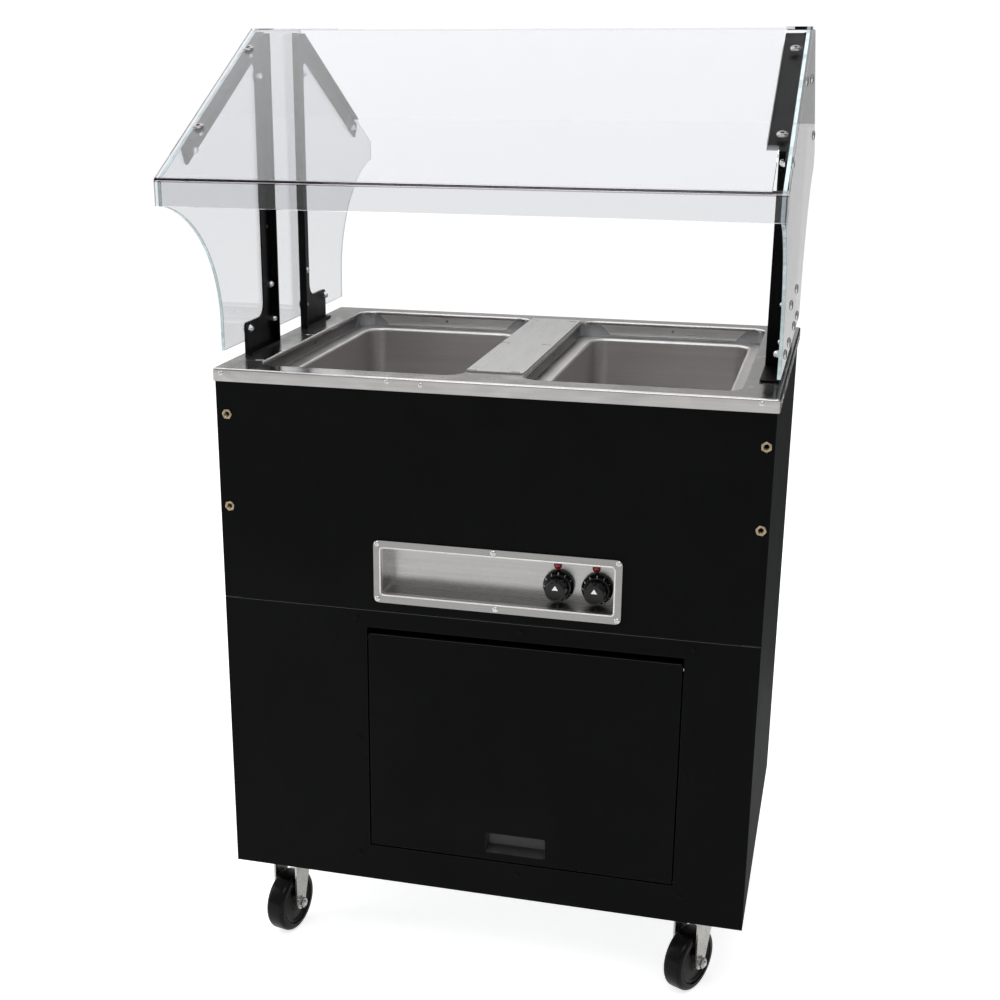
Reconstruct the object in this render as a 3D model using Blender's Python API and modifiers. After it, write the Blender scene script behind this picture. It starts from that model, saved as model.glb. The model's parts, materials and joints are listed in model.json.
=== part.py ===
"""Two-well electric steam table on casters, with a clear food guard and a retractable door.

Metres, +Z up, the floor at Z 0. X runs along the counter, and -Y is the front, where the
door and the controls are. Every sub-part is one closed object in the steam_table collection.
"""

import math

import bmesh
import bpy
from mathutils import Matrix, Vector

# Overall sizes
WIDTH = 0.808
COUNTER_FRONT = -0.300
COUNTER_REAR = 0.272
COUNTER_TOP = 0.950
APRON = 0.019
BODY_INSET = 0.003
BODY_BOTTOM = 0.146
GAP = 0.0003

# Sheet thicknesses
COUNTER_SHEET = 0.0015
PANEL_SHEET = 0.0012
BRACKET_SHEET = 0.0025
POST_SHEET = 0.0015

# Cabinet
BODY_HALF = WIDTH / 2 - BODY_INSET
BODY_FRONT = COUNTER_FRONT + BODY_INSET
BODY_REAR = COUNTER_REAR - BODY_INSET
INSIDE_FRONT = BODY_FRONT + PANEL_SHEET + GAP
INSIDE_REAR = BODY_REAR - PANEL_SHEET - GAP
INSIDE_HALF = BODY_HALF - PANEL_SHEET - GAP
PANEL_TOP = COUNTER_TOP - COUNTER_SHEET - GAP
SEAM = 0.598
DECK_TOP = 0.595
DECK_LIP = 0.015
FLOOR_LIP = 0.032
POST_LEG = 0.025

# Wells
WELL_X = 0.1965
WELL_Y = -0.011
WELL_HALF_X = 0.153
WELL_HALF_Y = 0.249
WELL_CORNER = 0.028
LEDGE_TOP = 0.925
LEDGE_WIDTH = 0.020
PAN_FLOOR = 0.7275
HOUSING_FLOOR = 0.7155
ELEMENT_RADIUS = 0.004

# Divider and the slots for its hooks
DIVIDER_HALF_X = 0.042
DIVIDER_HALF_Y = 0.230
DIVIDER_THICKNESS = 0.002
SLOT_HALF_LONG = 0.006
SLOT_HALF_WIDE = 0.0011
SLOT_ROWS = (-0.227, -0.009, 0.210)

# Controls
BEZEL_LOW = (-0.163, 0.612)
BEZEL_HIGH = (0.2035, 0.708)
CONTROL_LOW = (-0.153, 0.624)
CONTROL_HIGH = (0.193, 0.697)
CONTROL_BACK = -0.258
KNOB_XS = (0.1065, 0.163)
KNOB_Z = 0.650
LAMP_XS = (0.104, 0.1605)
LAMP_Z = 0.6795
KNOB_RADIUS = 0.023
KNOB_BACK = CONTROL_BACK - 0.0005
BEZEL_SHEET = 0.002
KNOB_DEPTH = 0.0345
SHAFT_RADIUS = 0.003

# Blind nuts for a tray rail, in the upper front panel
RIVNUTS = ((-0.385, 0.882), (-0.387, 0.742), (0.3895, 0.884), (0.3895, 0.767))
RIVNUT_RADIUS = 0.0055

# Door
OPENING_LOW = (-0.176, 0.205)
OPENING_HIGH = (0.296, 0.570)
DOOR_LOW = (-0.174, 0.207)
DOOR_HIGH = (0.294, 0.559)
DOOR_DEPTH = 0.018
PIVOT_Y = BODY_FRONT + 0.010
PIVOT_Z = DOOR_HIGH[1] - 0.010
ROD_RADIUS = 0.003
DOOR_MIDDLE = (DOOR_LOW[0] + DOOR_HIGH[0]) / 2
TRACK_WEB = 0.260
TRACK_FLANGE = 0.014
TRACK_END = 0.085
TRACK_BOTTOM = PIVOT_Z - 0.0095
PULL_LOW = (0.009, 0.219)
PULL_HIGH = (0.1015, 0.253)

# Casters
CASTER_X = 0.331
CASTER_INSET = 0.082
WHEEL_RADIUS = 0.050
WHEEL_HALF = 0.016
CASTER_TRAIL = 0.025
FORK_GAP = 0.019
FORK_SHEET = 0.003
AXLE_RADIUS = 0.005
SWIVELS = {"front_left": -12.0, "front_right": -26.0, "rear_left": -7.0, "rear_right": 11.0}

# Heating elements, and the gland that the supply cord leaves through
ELEMENT_PITCH = 0.060
ELEMENT_Z = (PAN_FLOOR - PANEL_SHEET + HOUSING_FLOOR) / 2
GLAND_X = -0.300
GLAND_Z = 0.650
GLAND_BORE = 0.0098
GLAND_RADIUS = 0.0095

# Food guard: depths from the model's origin, and heights from the counter's top
ACRYLIC = 0.006
END_ACRYLIC = 0.005
END_OUTER = 0.4005
GUARD_PEAK = (-0.101, 0.4682)
GUARD_FOLD = (-0.456, 0.2787)
GUARD_LIP = 0.035
GUARD_BEND = 0.008
PANEL_CLEARANCE = 0.020
BRACKET_OUTER = END_OUTER - END_ACRYLIC - GAP
POST_FRONT = -0.118
POST_REAR = -0.078
BASE_FRONT = -0.195
BASE_HEIGHT = 0.048
ARM_END = -0.385
ARM_DEPTH = 0.026
ARM_FLANGE_SETBACK = 0.021
CROWN_FRONT = -0.103
BRACKET_HOLES = ((-0.092, 0.430), (-0.092, 0.180))
BRACKET_MIDDLE = -0.016
END_PANEL_MIDDLE = -0.005
FLANGES = {"left": 0.012, "right": 0.0265}

SIDES = {"left": -1, "right": 1}
ENDS = {"front": -1, "rear": 1}


# Scene, materials and objects

def new_collection(name):
    collection = bpy.data.collections.new(name)
    bpy.context.scene.collection.children.link(collection)
    return collection


def new_material(name, color, roughness, metallic, alpha=1.0):
    material = bpy.data.materials.new(name)
    material.use_nodes = True
    shader = material.node_tree.nodes["Principled BSDF"]
    shader.inputs["Base Color"].default_value = (*color, 1.0)
    shader.inputs["Roughness"].default_value = roughness
    shader.inputs["Metallic"].default_value = metallic
    shader.inputs["Alpha"].default_value = alpha
    return material


def add_part(name, mesh, material, place=Matrix(), parent=None):
    """A sub-part: one named object in the collection of the object."""
    obj = bpy.data.objects.new(name, mesh)
    mesh.materials.clear()
    mesh.materials.append(material)
    PARTS.objects.link(obj)
    if parent:
        obj.parent = parent
    obj.matrix_basis = place
    return obj


def add_tool(mesh, place=Matrix(), parent=None):
    """A shape that cuts or joins another one, and isn't a part itself."""
    obj = bpy.data.objects.new("tool", mesh)
    CUTTERS.objects.link(obj)
    obj.hide_render = True
    obj.display_type = "WIRE"
    if parent:
        obj.parent = parent
    obj.matrix_basis = place
    return obj


def combine(obj, tool, operation):
    modifier = obj.modifiers.new(operation.lower(), "BOOLEAN")
    modifier.operation = operation
    modifier.object = tool
    return obj


def cut(obj, mesh, place=Matrix(), parent=None):
    return combine(obj, add_tool(mesh, place, parent), "DIFFERENCE")


def join(obj, mesh, place=Matrix(), parent=None):
    return combine(obj, add_tool(mesh, place, parent), "UNION")


def solidify(obj, thickness, offset=-1.0):
    modifier = obj.modifiers.new("sheet", "SOLIDIFY")
    modifier.thickness = thickness
    modifier.offset = offset
    modifier.use_even_offset = True
    return obj


def bevel(obj, width, segments=2, angle=50.0):
    modifier = obj.modifiers.new("rounded", "BEVEL")
    modifier.width = width
    modifier.segments = segments
    modifier.limit_method = "ANGLE"
    modifier.angle_limit = math.radians(angle)
    return obj


# Places: each maps a shape's own axes to the world's

def facing_front(x=0.0, y=0.0, z=0.0):
    """Local X, Y, Z to world X, Z, -Y."""
    return Matrix.Translation((x, y, z)) @ Matrix.Rotation(math.pi / 2, 4, "X")


def facing_right(x=0.0, y=0.0, z=0.0):
    """Local X, Y, Z to world Y, Z, X."""
    return Matrix.Translation((x, y, z)) @ Matrix(
        ((0, 0, 1, 0), (1, 0, 0, 0), (0, 1, 0, 0), (0, 0, 0, 1)))


# Shapes

def finish_mesh(name, shape, smooth_angle=35.0):
    mesh = bpy.data.meshes.new(name)
    shape.to_mesh(mesh)
    shape.free()
    mesh.shade_smooth()
    mesh.set_sharp_from_angle(angle=math.radians(smooth_angle))
    return mesh


def boxes(name, corners):
    """One mesh of boxes, each given by its low and high corners."""
    shape = bmesh.new()
    for low, high in corners:
        low, high = Vector(low), Vector(high)
        size = Matrix.Diagonal((*(high - low), 1.0))
        bmesh.ops.create_cube(shape, size=1.0, matrix=Matrix.Translation((low + high) / 2) @ size)
    return finish_mesh(name, shape)


def cylinders(name, pins, segments=24):
    """One mesh of upright pins, each given by x, y, radius, low z and high z."""
    shape = bmesh.new()
    for x, y, radius, low, high in pins:
        bmesh.ops.create_cone(
            shape, cap_ends=True, segments=segments, radius1=radius, radius2=radius,
            depth=high - low, matrix=Matrix.Translation((x, y, (low + high) / 2)))
    return finish_mesh(name, shape)


def open_box(name, low, high, open_side):
    """A box without the face whose outward normal is open_side."""
    mesh = boxes(name, [(low, high)])
    shape = bmesh.new()
    shape.from_mesh(mesh)
    bpy.data.meshes.remove(mesh)
    gone = [face for face in shape.faces if face.normal.dot(Vector(open_side)) > 0.9]
    bmesh.ops.delete(shape, geom=gone, context="FACES")
    return finish_mesh(name, shape)


def rounded(corners, steps=4):
    """An outline from (u, v, radius) corners, with each corner turned into an arc."""
    points = []
    for index, (u, v, radius) in enumerate(corners):
        here = Vector((u, v))
        if radius <= 0:
            points.append(here)
            continue
        before = (Vector(corners[index - 1][:2]) - here).normalized()
        after = (Vector(corners[(index + 1) % len(corners)][:2]) - here).normalized()
        half = before.angle(after) / 2
        middle = here + (before + after).normalized() * (radius / math.sin(half))
        start = here + before * (radius / math.tan(half)) - middle
        sweep = start.angle_signed(here + after * (radius / math.tan(half)) - middle)
        for step in range(steps + 1):
            points.append(middle + start @ Matrix.Rotation(sweep * step / steps, 2))
    return [tuple(point) for point in points]


def rounded_rectangle(middle, half, radius, steps=4):
    (u, v), (half_u, half_v) = middle, half
    return rounded([(u + half_u, v - half_v, radius), (u + half_u, v + half_v, radius),
                    (u - half_u, v + half_v, radius), (u - half_u, v - half_v, radius)], steps)


def rectangle(low, high, radius=0.0, steps=4):
    middle = ((low[0] + high[0]) / 2, (low[1] + high[1]) / 2)
    return rounded_rectangle(middle, (high[0] - middle[0], high[1] - middle[1]), radius, steps)


def circle(u, v, radius, steps=12):
    turn = 2 * math.pi / steps
    return [(u + radius * math.cos(turn * i), v + radius * math.sin(turn * i)) for i in range(steps)]


def plate(name, outlines, thickness):
    """A flat sheet in local XY, centred on Z 0: the first outline less the others."""
    curve = bpy.data.curves.new(name, "CURVE")
    curve.dimensions = "2D"
    curve.fill_mode = "BOTH"
    curve.extrude = thickness / 2
    for outline in outlines:
        spline = curve.splines.new("POLY")
        spline.points.add(len(outline) - 1)
        for point, (u, v) in zip(spline.points, outline):
            point.co = (u, v, 0.0, 1.0)
        spline.use_cyclic_u = True
    return mesh_of_curve(name, curve)


def tube(name, points, radius):
    """A round bar along a line of points, with closed ends."""
    curve = bpy.data.curves.new(name, "CURVE")
    curve.dimensions = "3D"
    curve.bevel_depth = radius
    curve.bevel_resolution = 2
    curve.use_fill_caps = True
    spline = curve.splines.new("POLY")
    spline.points.add(len(points) - 1)
    for point, place in zip(spline.points, points):
        point.co = (*place, 1.0)
    return mesh_of_curve(name, curve)


def mesh_of_curve(name, curve):
    holder = bpy.data.objects.new(name, curve)
    CUTTERS.objects.link(holder)
    bpy.context.view_layer.update()
    evaluated = holder.evaluated_get(bpy.context.evaluated_depsgraph_get())
    mesh = bpy.data.meshes.new_from_object(evaluated)
    bpy.data.objects.remove(holder)
    bpy.data.curves.remove(curve)
    shape = bmesh.new()
    shape.from_mesh(mesh)
    bpy.data.meshes.remove(mesh)
    bmesh.ops.remove_doubles(shape, verts=shape.verts, dist=1e-6)
    bmesh.ops.recalc_face_normals(shape, faces=shape.faces)
    return finish_mesh(name, shape)


def nested_shell(name, sections):
    """An open surface through rounded rectangles, closed on the last one.

    Each section is middle, half sizes, corner radius and height. They run from the outer rim
    inward and down, so the normals point into the hollow.
    """
    shape = bmesh.new()
    rings = []
    for middle, half, radius, height in sections:
        outline = rounded_rectangle(middle, half, radius)
        rings.append([shape.verts.new((u, v, height)) for u, v in outline])
    for outer, inner in zip(rings, rings[1:]):
        for i, corner in enumerate(outer):
            following = (i + 1) % len(outer)
            shape.faces.new((corner, outer[following], inner[following], inner[i]))
    shape.faces.new(rings[-1])
    return finish_mesh(name, shape)


def turned(name, profile, material, place=Matrix(), steps=32, closed=False, parent=None):
    """A turned part about local Z, from (radius, height) points, top to bottom outside."""
    mesh = bpy.data.meshes.new(name)
    count = len(profile)
    edges = [(i, i + 1) for i in range(count - 1)]
    if closed:
        edges.append((count - 1, 0))
    mesh.from_pydata([(radius, 0.0, height) for radius, height in profile], edges, [])
    obj = add_part(name, mesh, material, place, parent)
    modifier = obj.modifiers.new("turn", "SCREW")
    modifier.steps = steps
    modifier.render_steps = steps
    modifier.use_merge_vertices = True
    modifier.merge_threshold = 0.00001
    modifier.use_smooth_shade = True
    return obj


def folded_sheet(name, path, length):
    """An open surface: a path of (u, v) points in local XY, extruded along Z from 0."""
    shape = bmesh.new()
    start = [shape.verts.new((u, v, 0.0)) for u, v in path]
    end = [shape.verts.new((u, v, length)) for u, v in path]
    for i in range(len(path) - 1):
        shape.faces.new((start[i], start[i + 1], end[i + 1], end[i]))
    return finish_mesh(name, shape)


# Counter and wells

def make_counter():
    half = WIDTH / 2
    counter = add_part("counter_top", open_box(
        "counter", (-half, COUNTER_FRONT, COUNTER_TOP - APRON), (half, COUNTER_REAR, COUNTER_TOP),
        (0, 0, -1)), STAINLESS)
    bevel(counter, 0.0035, segments=3)
    solidify(counter, COUNTER_SHEET)
    for side in SIDES.values():
        outline = rounded_rectangle((side * WELL_X, WELL_Y), (WELL_HALF_X, WELL_HALF_Y), WELL_CORNER)
        cut(counter, plate("well_opening", [outline], 0.020), Matrix.Translation((0, 0, COUNTER_TOP)))
        for mesh, place in well_flanges(side * WELL_X):
            join(counter, mesh, place)
    slots = [slot_box(side * 0.359, y, COUNTER_TOP) for side in SIDES.values() for y in SLOT_ROWS]
    cut(counter, boxes("slots", slots))


def well_flanges(middle_x):
    """The four turned-down edges of a well opening, with tapered ends and a hole each."""
    drop, taper, offset = 0.022, 0.018, 0.0001 + COUNTER_SHEET / 2
    top = COUNTER_TOP - 0.0008
    flanges = []
    for along, across in ((WELL_HALF_X, WELL_HALF_Y), (WELL_HALF_Y, WELL_HALF_X)):
        straight = along - WELL_CORNER - 0.002
        outline = [(-straight, 0), (straight, 0), (straight - taper, -drop), (taper - straight, -drop)]
        holes = [circle(0, -drop / 2, 0.0025, 8)]
        for side in (-1, 1):
            if across == WELL_HALF_Y:
                place = facing_front(middle_x, WELL_Y + side * (across + offset), top)
            else:
                place = facing_right(middle_x + side * (across + offset), WELL_Y, top)
            flanges.append((plate("well_flange", [outline] + holes, COUNTER_SHEET), place))
    return flanges


def slot_box(x, y, z):
    low = (x - SLOT_HALF_LONG, y - SLOT_HALF_WIDE, z - 0.004)
    return low, (x + SLOT_HALF_LONG, y + SLOT_HALF_WIDE, z + 0.004)


def make_divider():
    outline = rectangle((-DIVIDER_HALF_X, -DIVIDER_HALF_Y), (DIVIDER_HALF_X, DIVIDER_HALF_Y), 0.003, 3)
    slots = []
    for x in (-0.034, 0.030):
        for y in SLOT_ROWS:
            slots.append(rectangle((x - SLOT_HALF_LONG, y - SLOT_HALF_WIDE),
                                   (x + SLOT_HALF_LONG, y + SLOT_HALF_WIDE), 0.001, 1))
    middle = COUNTER_TOP + GAP + DIVIDER_THICKNESS / 2
    mesh = plate("divider_plate", [outline] + slots, DIVIDER_THICKNESS)
    add_part("divider_plate", mesh, STAINLESS, Matrix.Translation((0, 0, middle)))


def make_wells():
    for name, side in SIDES.items():
        middle = (side * WELL_X, WELL_Y)
        make_pan(name, middle)
        make_housing(name, middle)
        make_element(name, middle)


def make_pan(name, middle):
    """The heated pan: a ledge all round, rounded walls and a flat floor."""
    ledge_x, ledge_y = WELL_HALF_X + 0.0027, WELL_HALF_Y + 0.0027
    wall_x, wall_y = WELL_HALF_X - LEDGE_WIDTH, WELL_HALF_Y - LEDGE_WIDTH
    lip, corner, draft, floor_bend = 0.004, 0.030, 0.003, 0.010
    sections = [(middle, (ledge_x, ledge_y), corner, LEDGE_TOP)]
    for step in range(4):
        angle = step * math.pi / 6
        out = lip * (1 - math.sin(angle))
        drop = lip * (1 - math.cos(angle))
        sections.append((middle, (wall_x + out, wall_y + out), corner + out, LEDGE_TOP - drop))
    for step in range(4):
        angle = step * math.pi / 6
        inward = draft + floor_bend * (1 - math.cos(angle))
        height = PAN_FLOOR + floor_bend * (1 - math.sin(angle))
        sections.append((middle, (wall_x - inward, wall_y - inward), corner - inward, height))
    pan = add_part(f"well_pan_{name}", nested_shell("pan", sections), PAN_STEEL)
    solidify(pan, PANEL_SHEET)


def make_housing(name, middle):
    """The outer box under a well, hung from the counter, with a shelf for the pan's ledge."""
    wall_x, wall_y = WELL_HALF_X + 0.003, WELL_HALF_Y + 0.003
    rim, shelf, corner = 0.010, 0.008, 0.024
    shelf_top = LEDGE_TOP - PANEL_SHEET - GAP
    sections = [
        (middle, (wall_x + rim, wall_y + rim), corner + rim, PANEL_TOP),
        (middle, (wall_x, wall_y), corner, PANEL_TOP),
        (middle, (wall_x, wall_y), corner, shelf_top),
        (middle, (wall_x - shelf, wall_y - shelf), corner - shelf, shelf_top),
        (middle, (wall_x - shelf, wall_y - shelf), corner - shelf, HOUSING_FLOOR),
    ]
    housing = add_part(f"well_housing_{name}", nested_shell("housing", sections), GALVANISED)
    solidify(housing, PANEL_SHEET)
    leads = [(middle[0] + x, element_front(), ELEMENT_RADIUS + 0.0008, 0.700, 0.722)
             for x in (-ELEMENT_PITCH / 2, ELEMENT_PITCH / 2)]
    cut(housing, cylinders("element_holes", leads, 16))


def element_front():
    return WELL_Y - 0.180


def make_element(name, middle):
    """A tubular element: both leads rise through the housing's floor, and run to a hairpin loop."""
    front, rear, half = element_front(), WELL_Y + 0.190, ELEMENT_PITCH / 2
    bend, wide = 0.0055, 0.090
    turn, corner = rear - 0.060, 0.025
    outline = rounded([(-half, front + 0.020, 0), (-half, turn, corner), (-wide, turn, corner),
                       (-wide, rear, corner), (wide, rear, corner), (wide, turn, corner),
                       (half, turn, corner), (half, front + 0.020, 0)], 3)
    lead = [(0.0, -0.024)] + [(bend * (1 - math.cos(a)), bend * (math.sin(a) - 1))
                                   for a in (0.0, 0.52, 1.05, math.pi / 2)]
    route = [(middle[0] - half, front + y, ELEMENT_Z + z) for y, z in lead]
    route += [(middle[0] + x, y, ELEMENT_Z) for x, y in outline]
    route += [(middle[0] + half, front + y, ELEMENT_Z + z) for y, z in reversed(lead)]
    add_part(f"heating_element_{name}", tube("element", route, ELEMENT_RADIUS), ELEMENT_STEEL)


# Cabinet

def make_front_panels():
    middle_y = BODY_FRONT + PANEL_SHEET / 2
    outline = rectangle((-BODY_HALF, SEAM + 0.0005), (BODY_HALF, PANEL_TOP))
    holes = [rectangle((CONTROL_LOW[0] - 0.0015, CONTROL_LOW[1] - 0.0015),
                       (CONTROL_HIGH[0] + 0.0015, CONTROL_HIGH[1] + 0.0015), 0.006)]
    holes += [circle(x, z, RIVNUT_RADIUS) for x, z in RIVNUTS]
    upper = plate("upper_front_panel", [outline] + holes, PANEL_SHEET)
    add_part("upper_front_panel", upper, BLACK_PAINT, facing_front(y=middle_y))
    outline = rectangle((-BODY_HALF, BODY_BOTTOM), (BODY_HALF, SEAM - 0.0005))
    opening = rectangle(OPENING_LOW, OPENING_HIGH, 0.002, 2)
    lower = plate("lower_front_frame", [outline, opening], PANEL_SHEET)
    add_part("lower_front_frame", lower, BLACK_PAINT, facing_front(y=middle_y))


def make_side_and_rear_panels():
    for name, side in SIDES.items():
        outline = rectangle((INSIDE_FRONT, BODY_BOTTOM), (BODY_REAR, PANEL_TOP))
        mesh = plate("side_panel", [outline], PANEL_SHEET)
        add_part(f"side_panel_{name}", mesh, BLACK_PAINT,
                 facing_right(side * (BODY_HALF - PANEL_SHEET / 2)))
    outline = rectangle((-INSIDE_HALF, BODY_BOTTOM), (INSIDE_HALF, PANEL_TOP))
    holes = [circle(GLAND_X, GLAND_Z, GLAND_BORE, 24)]
    for column in (-0.12, 0.0, 0.12):
        for row in range(6):
            z = 0.628 + row * 0.014
            holes.append(rectangle((column - 0.045, z - 0.002), (column + 0.045, z + 0.002), 0.0019, 1))
    mesh = plate("rear_panel", [outline] + holes, PANEL_SHEET)
    add_part("rear_panel", mesh, BLACK_PAINT, facing_front(y=BODY_REAR - PANEL_SHEET / 2))


def make_floor_and_deck():
    inside = POST_SHEET + GAP
    low_x, high_x = -INSIDE_HALF + inside, INSIDE_HALF - inside
    low_y, high_y = INSIDE_FRONT + inside, INSIDE_REAR - inside
    floor = add_part("cabinet_floor", open_box(
        "floor", (low_x, low_y, BODY_BOTTOM), (high_x, high_y, BODY_BOTTOM + FLOOR_LIP),
        (0, 0, 1)), GALVANISED)
    solidify(floor, POST_SHEET)
    deck = add_part("deck", open_box(
        "deck", (low_x, low_y, DECK_TOP - DECK_LIP), (high_x, high_y, DECK_TOP), (0, 0, -1)), GALVANISED)
    solidify(deck, PANEL_SHEET)


def make_corner_posts():
    """Angle posts inside the four corners; the blind nuts pass through the front ones."""
    low, high = BODY_BOTTOM + GAP, PANEL_TOP
    for end, toward_y in ENDS.items():
        corner_y = INSIDE_FRONT if toward_y < 0 else INSIDE_REAR
        for name, toward_x in SIDES.items():
            corner_x = toward_x * INSIDE_HALF
            inner_x, inner_y = corner_x - toward_x * POST_SHEET, corner_y - toward_y * POST_SHEET
            tip_x, tip_y = corner_x - toward_x * POST_LEG, corner_y - toward_y * POST_LEG
            outline = [(corner_x, corner_y), (tip_x, corner_y), (tip_x, inner_y),
                       (inner_x, inner_y), (inner_x, tip_y), (corner_x, tip_y)]
            post = add_part(f"corner_post_{end}_{name}", plate("post", [outline], high - low),
                            GALVANISED, Matrix.Translation((0, 0, (low + high) / 2)))
            if end == "front":
                pins = [(x, z, RIVNUT_RADIUS, 0.280, 0.300) for x, z in RIVNUTS if x * toward_x > 0]
                cut(post, cylinders("nut_holes", pins, 16), facing_front())


# Controls

def make_control_tray():
    middle = ((CONTROL_LOW[0] + CONTROL_HIGH[0]) / 2, (CONTROL_LOW[1] + CONTROL_HIGH[1]) / 2)
    half = (CONTROL_HIGH[0] - middle[0] - 0.0005, CONTROL_HIGH[1] - middle[1] - 0.0005)
    rim, front = 0.009, -INSIDE_FRONT
    sections = [
        (middle, (half[0] + rim, half[1] + rim), 0.006 + rim, front),
        (middle, half, 0.006, front),
        (middle, half, 0.006, -CONTROL_BACK),
    ]
    tray = add_part("control_tray", nested_shell("tray", sections), STAINLESS, facing_front())
    solidify(tray, PANEL_SHEET)
    pins = [(x, KNOB_Z, 0.0055, 0.250, 0.262) for x in KNOB_XS]
    pins += [(x, LAMP_Z, 0.0053, 0.250, 0.262) for x in LAMP_XS]
    cut(tray, cylinders("control_holes", pins, 16), facing_front())


def make_bezel():
    outlines = [rectangle(BEZEL_LOW, BEZEL_HIGH, 0.008), rectangle(CONTROL_LOW, CONTROL_HIGH, 0.005)]
    add_part("bezel", plate("bezel", outlines, BEZEL_SHEET), STAINLESS,
             facing_front(y=BODY_FRONT - GAP - BEZEL_SHEET / 2))


def make_thermostats_and_knobs():
    body_front = CONTROL_BACK + PANEL_SHEET + GAP
    for (name, x), lamp_x in zip(zip(SIDES, KNOB_XS), LAMP_XS):
        body = add_part(f"thermostat_{name}", boxes("thermostat", [
            ((x - 0.018, body_front, KNOB_Z - 0.018), (x + 0.018, body_front + 0.030, KNOB_Z + 0.018))]),
            PHENOLIC)
        join(body, cylinders("bushing", [(x, KNOB_Z, 0.005, -body_front - 0.001, -CONTROL_BACK)], 16),
             facing_front())
        bore = (x, KNOB_Z, SHAFT_RADIUS + GAP, -body_front - 0.010, 0.262)
        cut(body, cylinders("shaft_bore", [bore], 16), facing_front())
        make_knob(name, x)
        make_lamp(name, lamp_x)


def make_knob(name, x):
    """A skirted knob with a fluted grip, on its own shaft; local Z points out of the panel."""
    skirt, grip, nose = KNOB_RADIUS, 0.0165, 0.0145
    profile = [(0.0, KNOB_DEPTH), (nose - 0.0015, KNOB_DEPTH), (nose, KNOB_DEPTH - 0.0015),
               (grip, 0.0125), (skirt - 0.0035, 0.0115), (skirt, 0.0065), (skirt, 0.0), (0.0, 0.0)]
    origin = facing_front(x, KNOB_BACK, KNOB_Z)
    knob = turned(f"knob_{name}", profile, BLACK_PLASTIC, origin, steps=24)
    flutes = [(0.0205 * math.cos(a), 0.0205 * math.sin(a), 0.0055, 0.013, 0.040)
              for a in (math.radians(45 + 90 * i) for i in range(4))]
    cut(knob, cylinders("flutes", flutes, 12), origin)
    cut(knob, cylinders("knob_bore", [(0, 0, SHAFT_RADIUS + GAP, -0.005, 0.020)], 16), origin)
    shaft = cylinders("shaft", [(0, 0, SHAFT_RADIUS, -0.010, 0.0195)], 16)
    add_part(f"thermostat_shaft_{name}", shaft, STEEL, origin)


def make_lamp(name, x):
    profile = [(0.0, 0.0045), (0.0030, 0.0040), (0.0050, 0.0028), (0.0060, 0.0004),
               (0.0050, 0.0003), (0.0050, -0.020), (0.0, -0.020)]
    turned(f"indicator_lamp_{name}", profile, RED_LENS, facing_front(x, CONTROL_BACK, LAMP_Z), steps=16)


def make_supply_entry():
    """A strain-relief gland through the rear panel, and the terminal block inside it."""
    outer, inner = -BODY_REAR - GAP, -BODY_REAR + PANEL_SHEET + GAP
    profile = [(0.0050, outer - 0.020), (0.0085, outer - 0.018), (0.0120, outer - 0.008),
               (0.0160, outer - 0.006), (0.0160, outer), (GLAND_RADIUS, outer),
               (GLAND_RADIUS, inner), (0.0140, inner), (0.0140, inner + 0.005),
               (GLAND_RADIUS, inner + 0.005), (GLAND_RADIUS, inner + 0.012), (0.0050, inner + 0.012)]
    turned("cord_gland", profile[::-1], BLACK_PLASTIC, facing_front(GLAND_X, 0, GLAND_Z), steps=16,
           closed=True)
    low = (GLAND_X + 0.040, INSIDE_REAR - 0.024, GLAND_Z - 0.013)
    block = add_part("terminal_block", boxes("terminals", [
        (low, (low[0] + 0.060, INSIDE_REAR, low[2] + 0.026))]), PHENOLIC)
    grooves = [((low[0] + 0.013 + 0.015 * i, low[1] - 0.002, low[2] - 0.002),
                (low[0] + 0.017 + 0.015 * i, low[1] + 0.008, low[2] + 0.030)) for i in range(3)]
    cut(block, boxes("grooves", grooves))


# Door

def make_door():
    pivot = bpy.data.objects.new("door_pivot", None)
    PARTS.objects.link(pivot)
    pivot.location = (DOOR_MIDDLE, PIVOT_Y, PIVOT_Z)
    to_pivot = Matrix.Translation((-DOOR_MIDDLE, -PIVOT_Y, -PIVOT_Z))
    low = (DOOR_LOW[0], BODY_FRONT, DOOR_LOW[1])
    high = (DOOR_HIGH[0], BODY_FRONT + DOOR_DEPTH, DOOR_HIGH[1])
    door = add_part("door", open_box("door", low, high, (0, 1, 0)), BLACK_PAINT, to_pivot, pivot)
    bevel(door, 0.0015, segments=2)
    solidify(door, PANEL_SHEET)
    opening = plate("pull_opening", [rectangle(PULL_LOW, PULL_HIGH, 0.003, 3)], 0.010)
    cut(door, opening, to_pivot @ facing_front(y=BODY_FRONT), pivot)
    half = DOOR_HIGH[0] - DOOR_MIDDLE + 0.002
    rod_hole = (0, 0, ROD_RADIUS + 0.0004, -half, half)
    cut(door, cylinders("rod_holes", [rod_hole], 16), facing_right(), pivot)
    make_pull(to_pivot, pivot)


def make_pull(to_pivot, pivot):
    """The finger cup behind the door's cut-out, deeper at the top than at the bottom."""
    middle = ((PULL_LOW[0] + PULL_HIGH[0]) / 2, (PULL_LOW[1] + PULL_HIGH[1]) / 2)
    half = (PULL_HIGH[0] - middle[0] - 0.0004, PULL_HIGH[1] - middle[1] - 0.0004)
    front, rim, depth, slope = -INSIDE_FRONT, 0.007, 0.0145, 0.007
    back = (middle[0], middle[1] + slope / 2)
    sections = [
        (middle, (half[0] + rim, half[1] + rim), 0.004 + rim, front),
        (middle, half, 0.003, front),
        (back, (half[0] - 0.002, half[1] - slope / 2 - 0.001), 0.003, front - depth),
    ]
    pull = add_part("door_pull", nested_shell("pull", sections), BLACK_PLASTIC,
                    to_pivot @ facing_front(), pivot)
    solidify(pull, 0.001)


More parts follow.
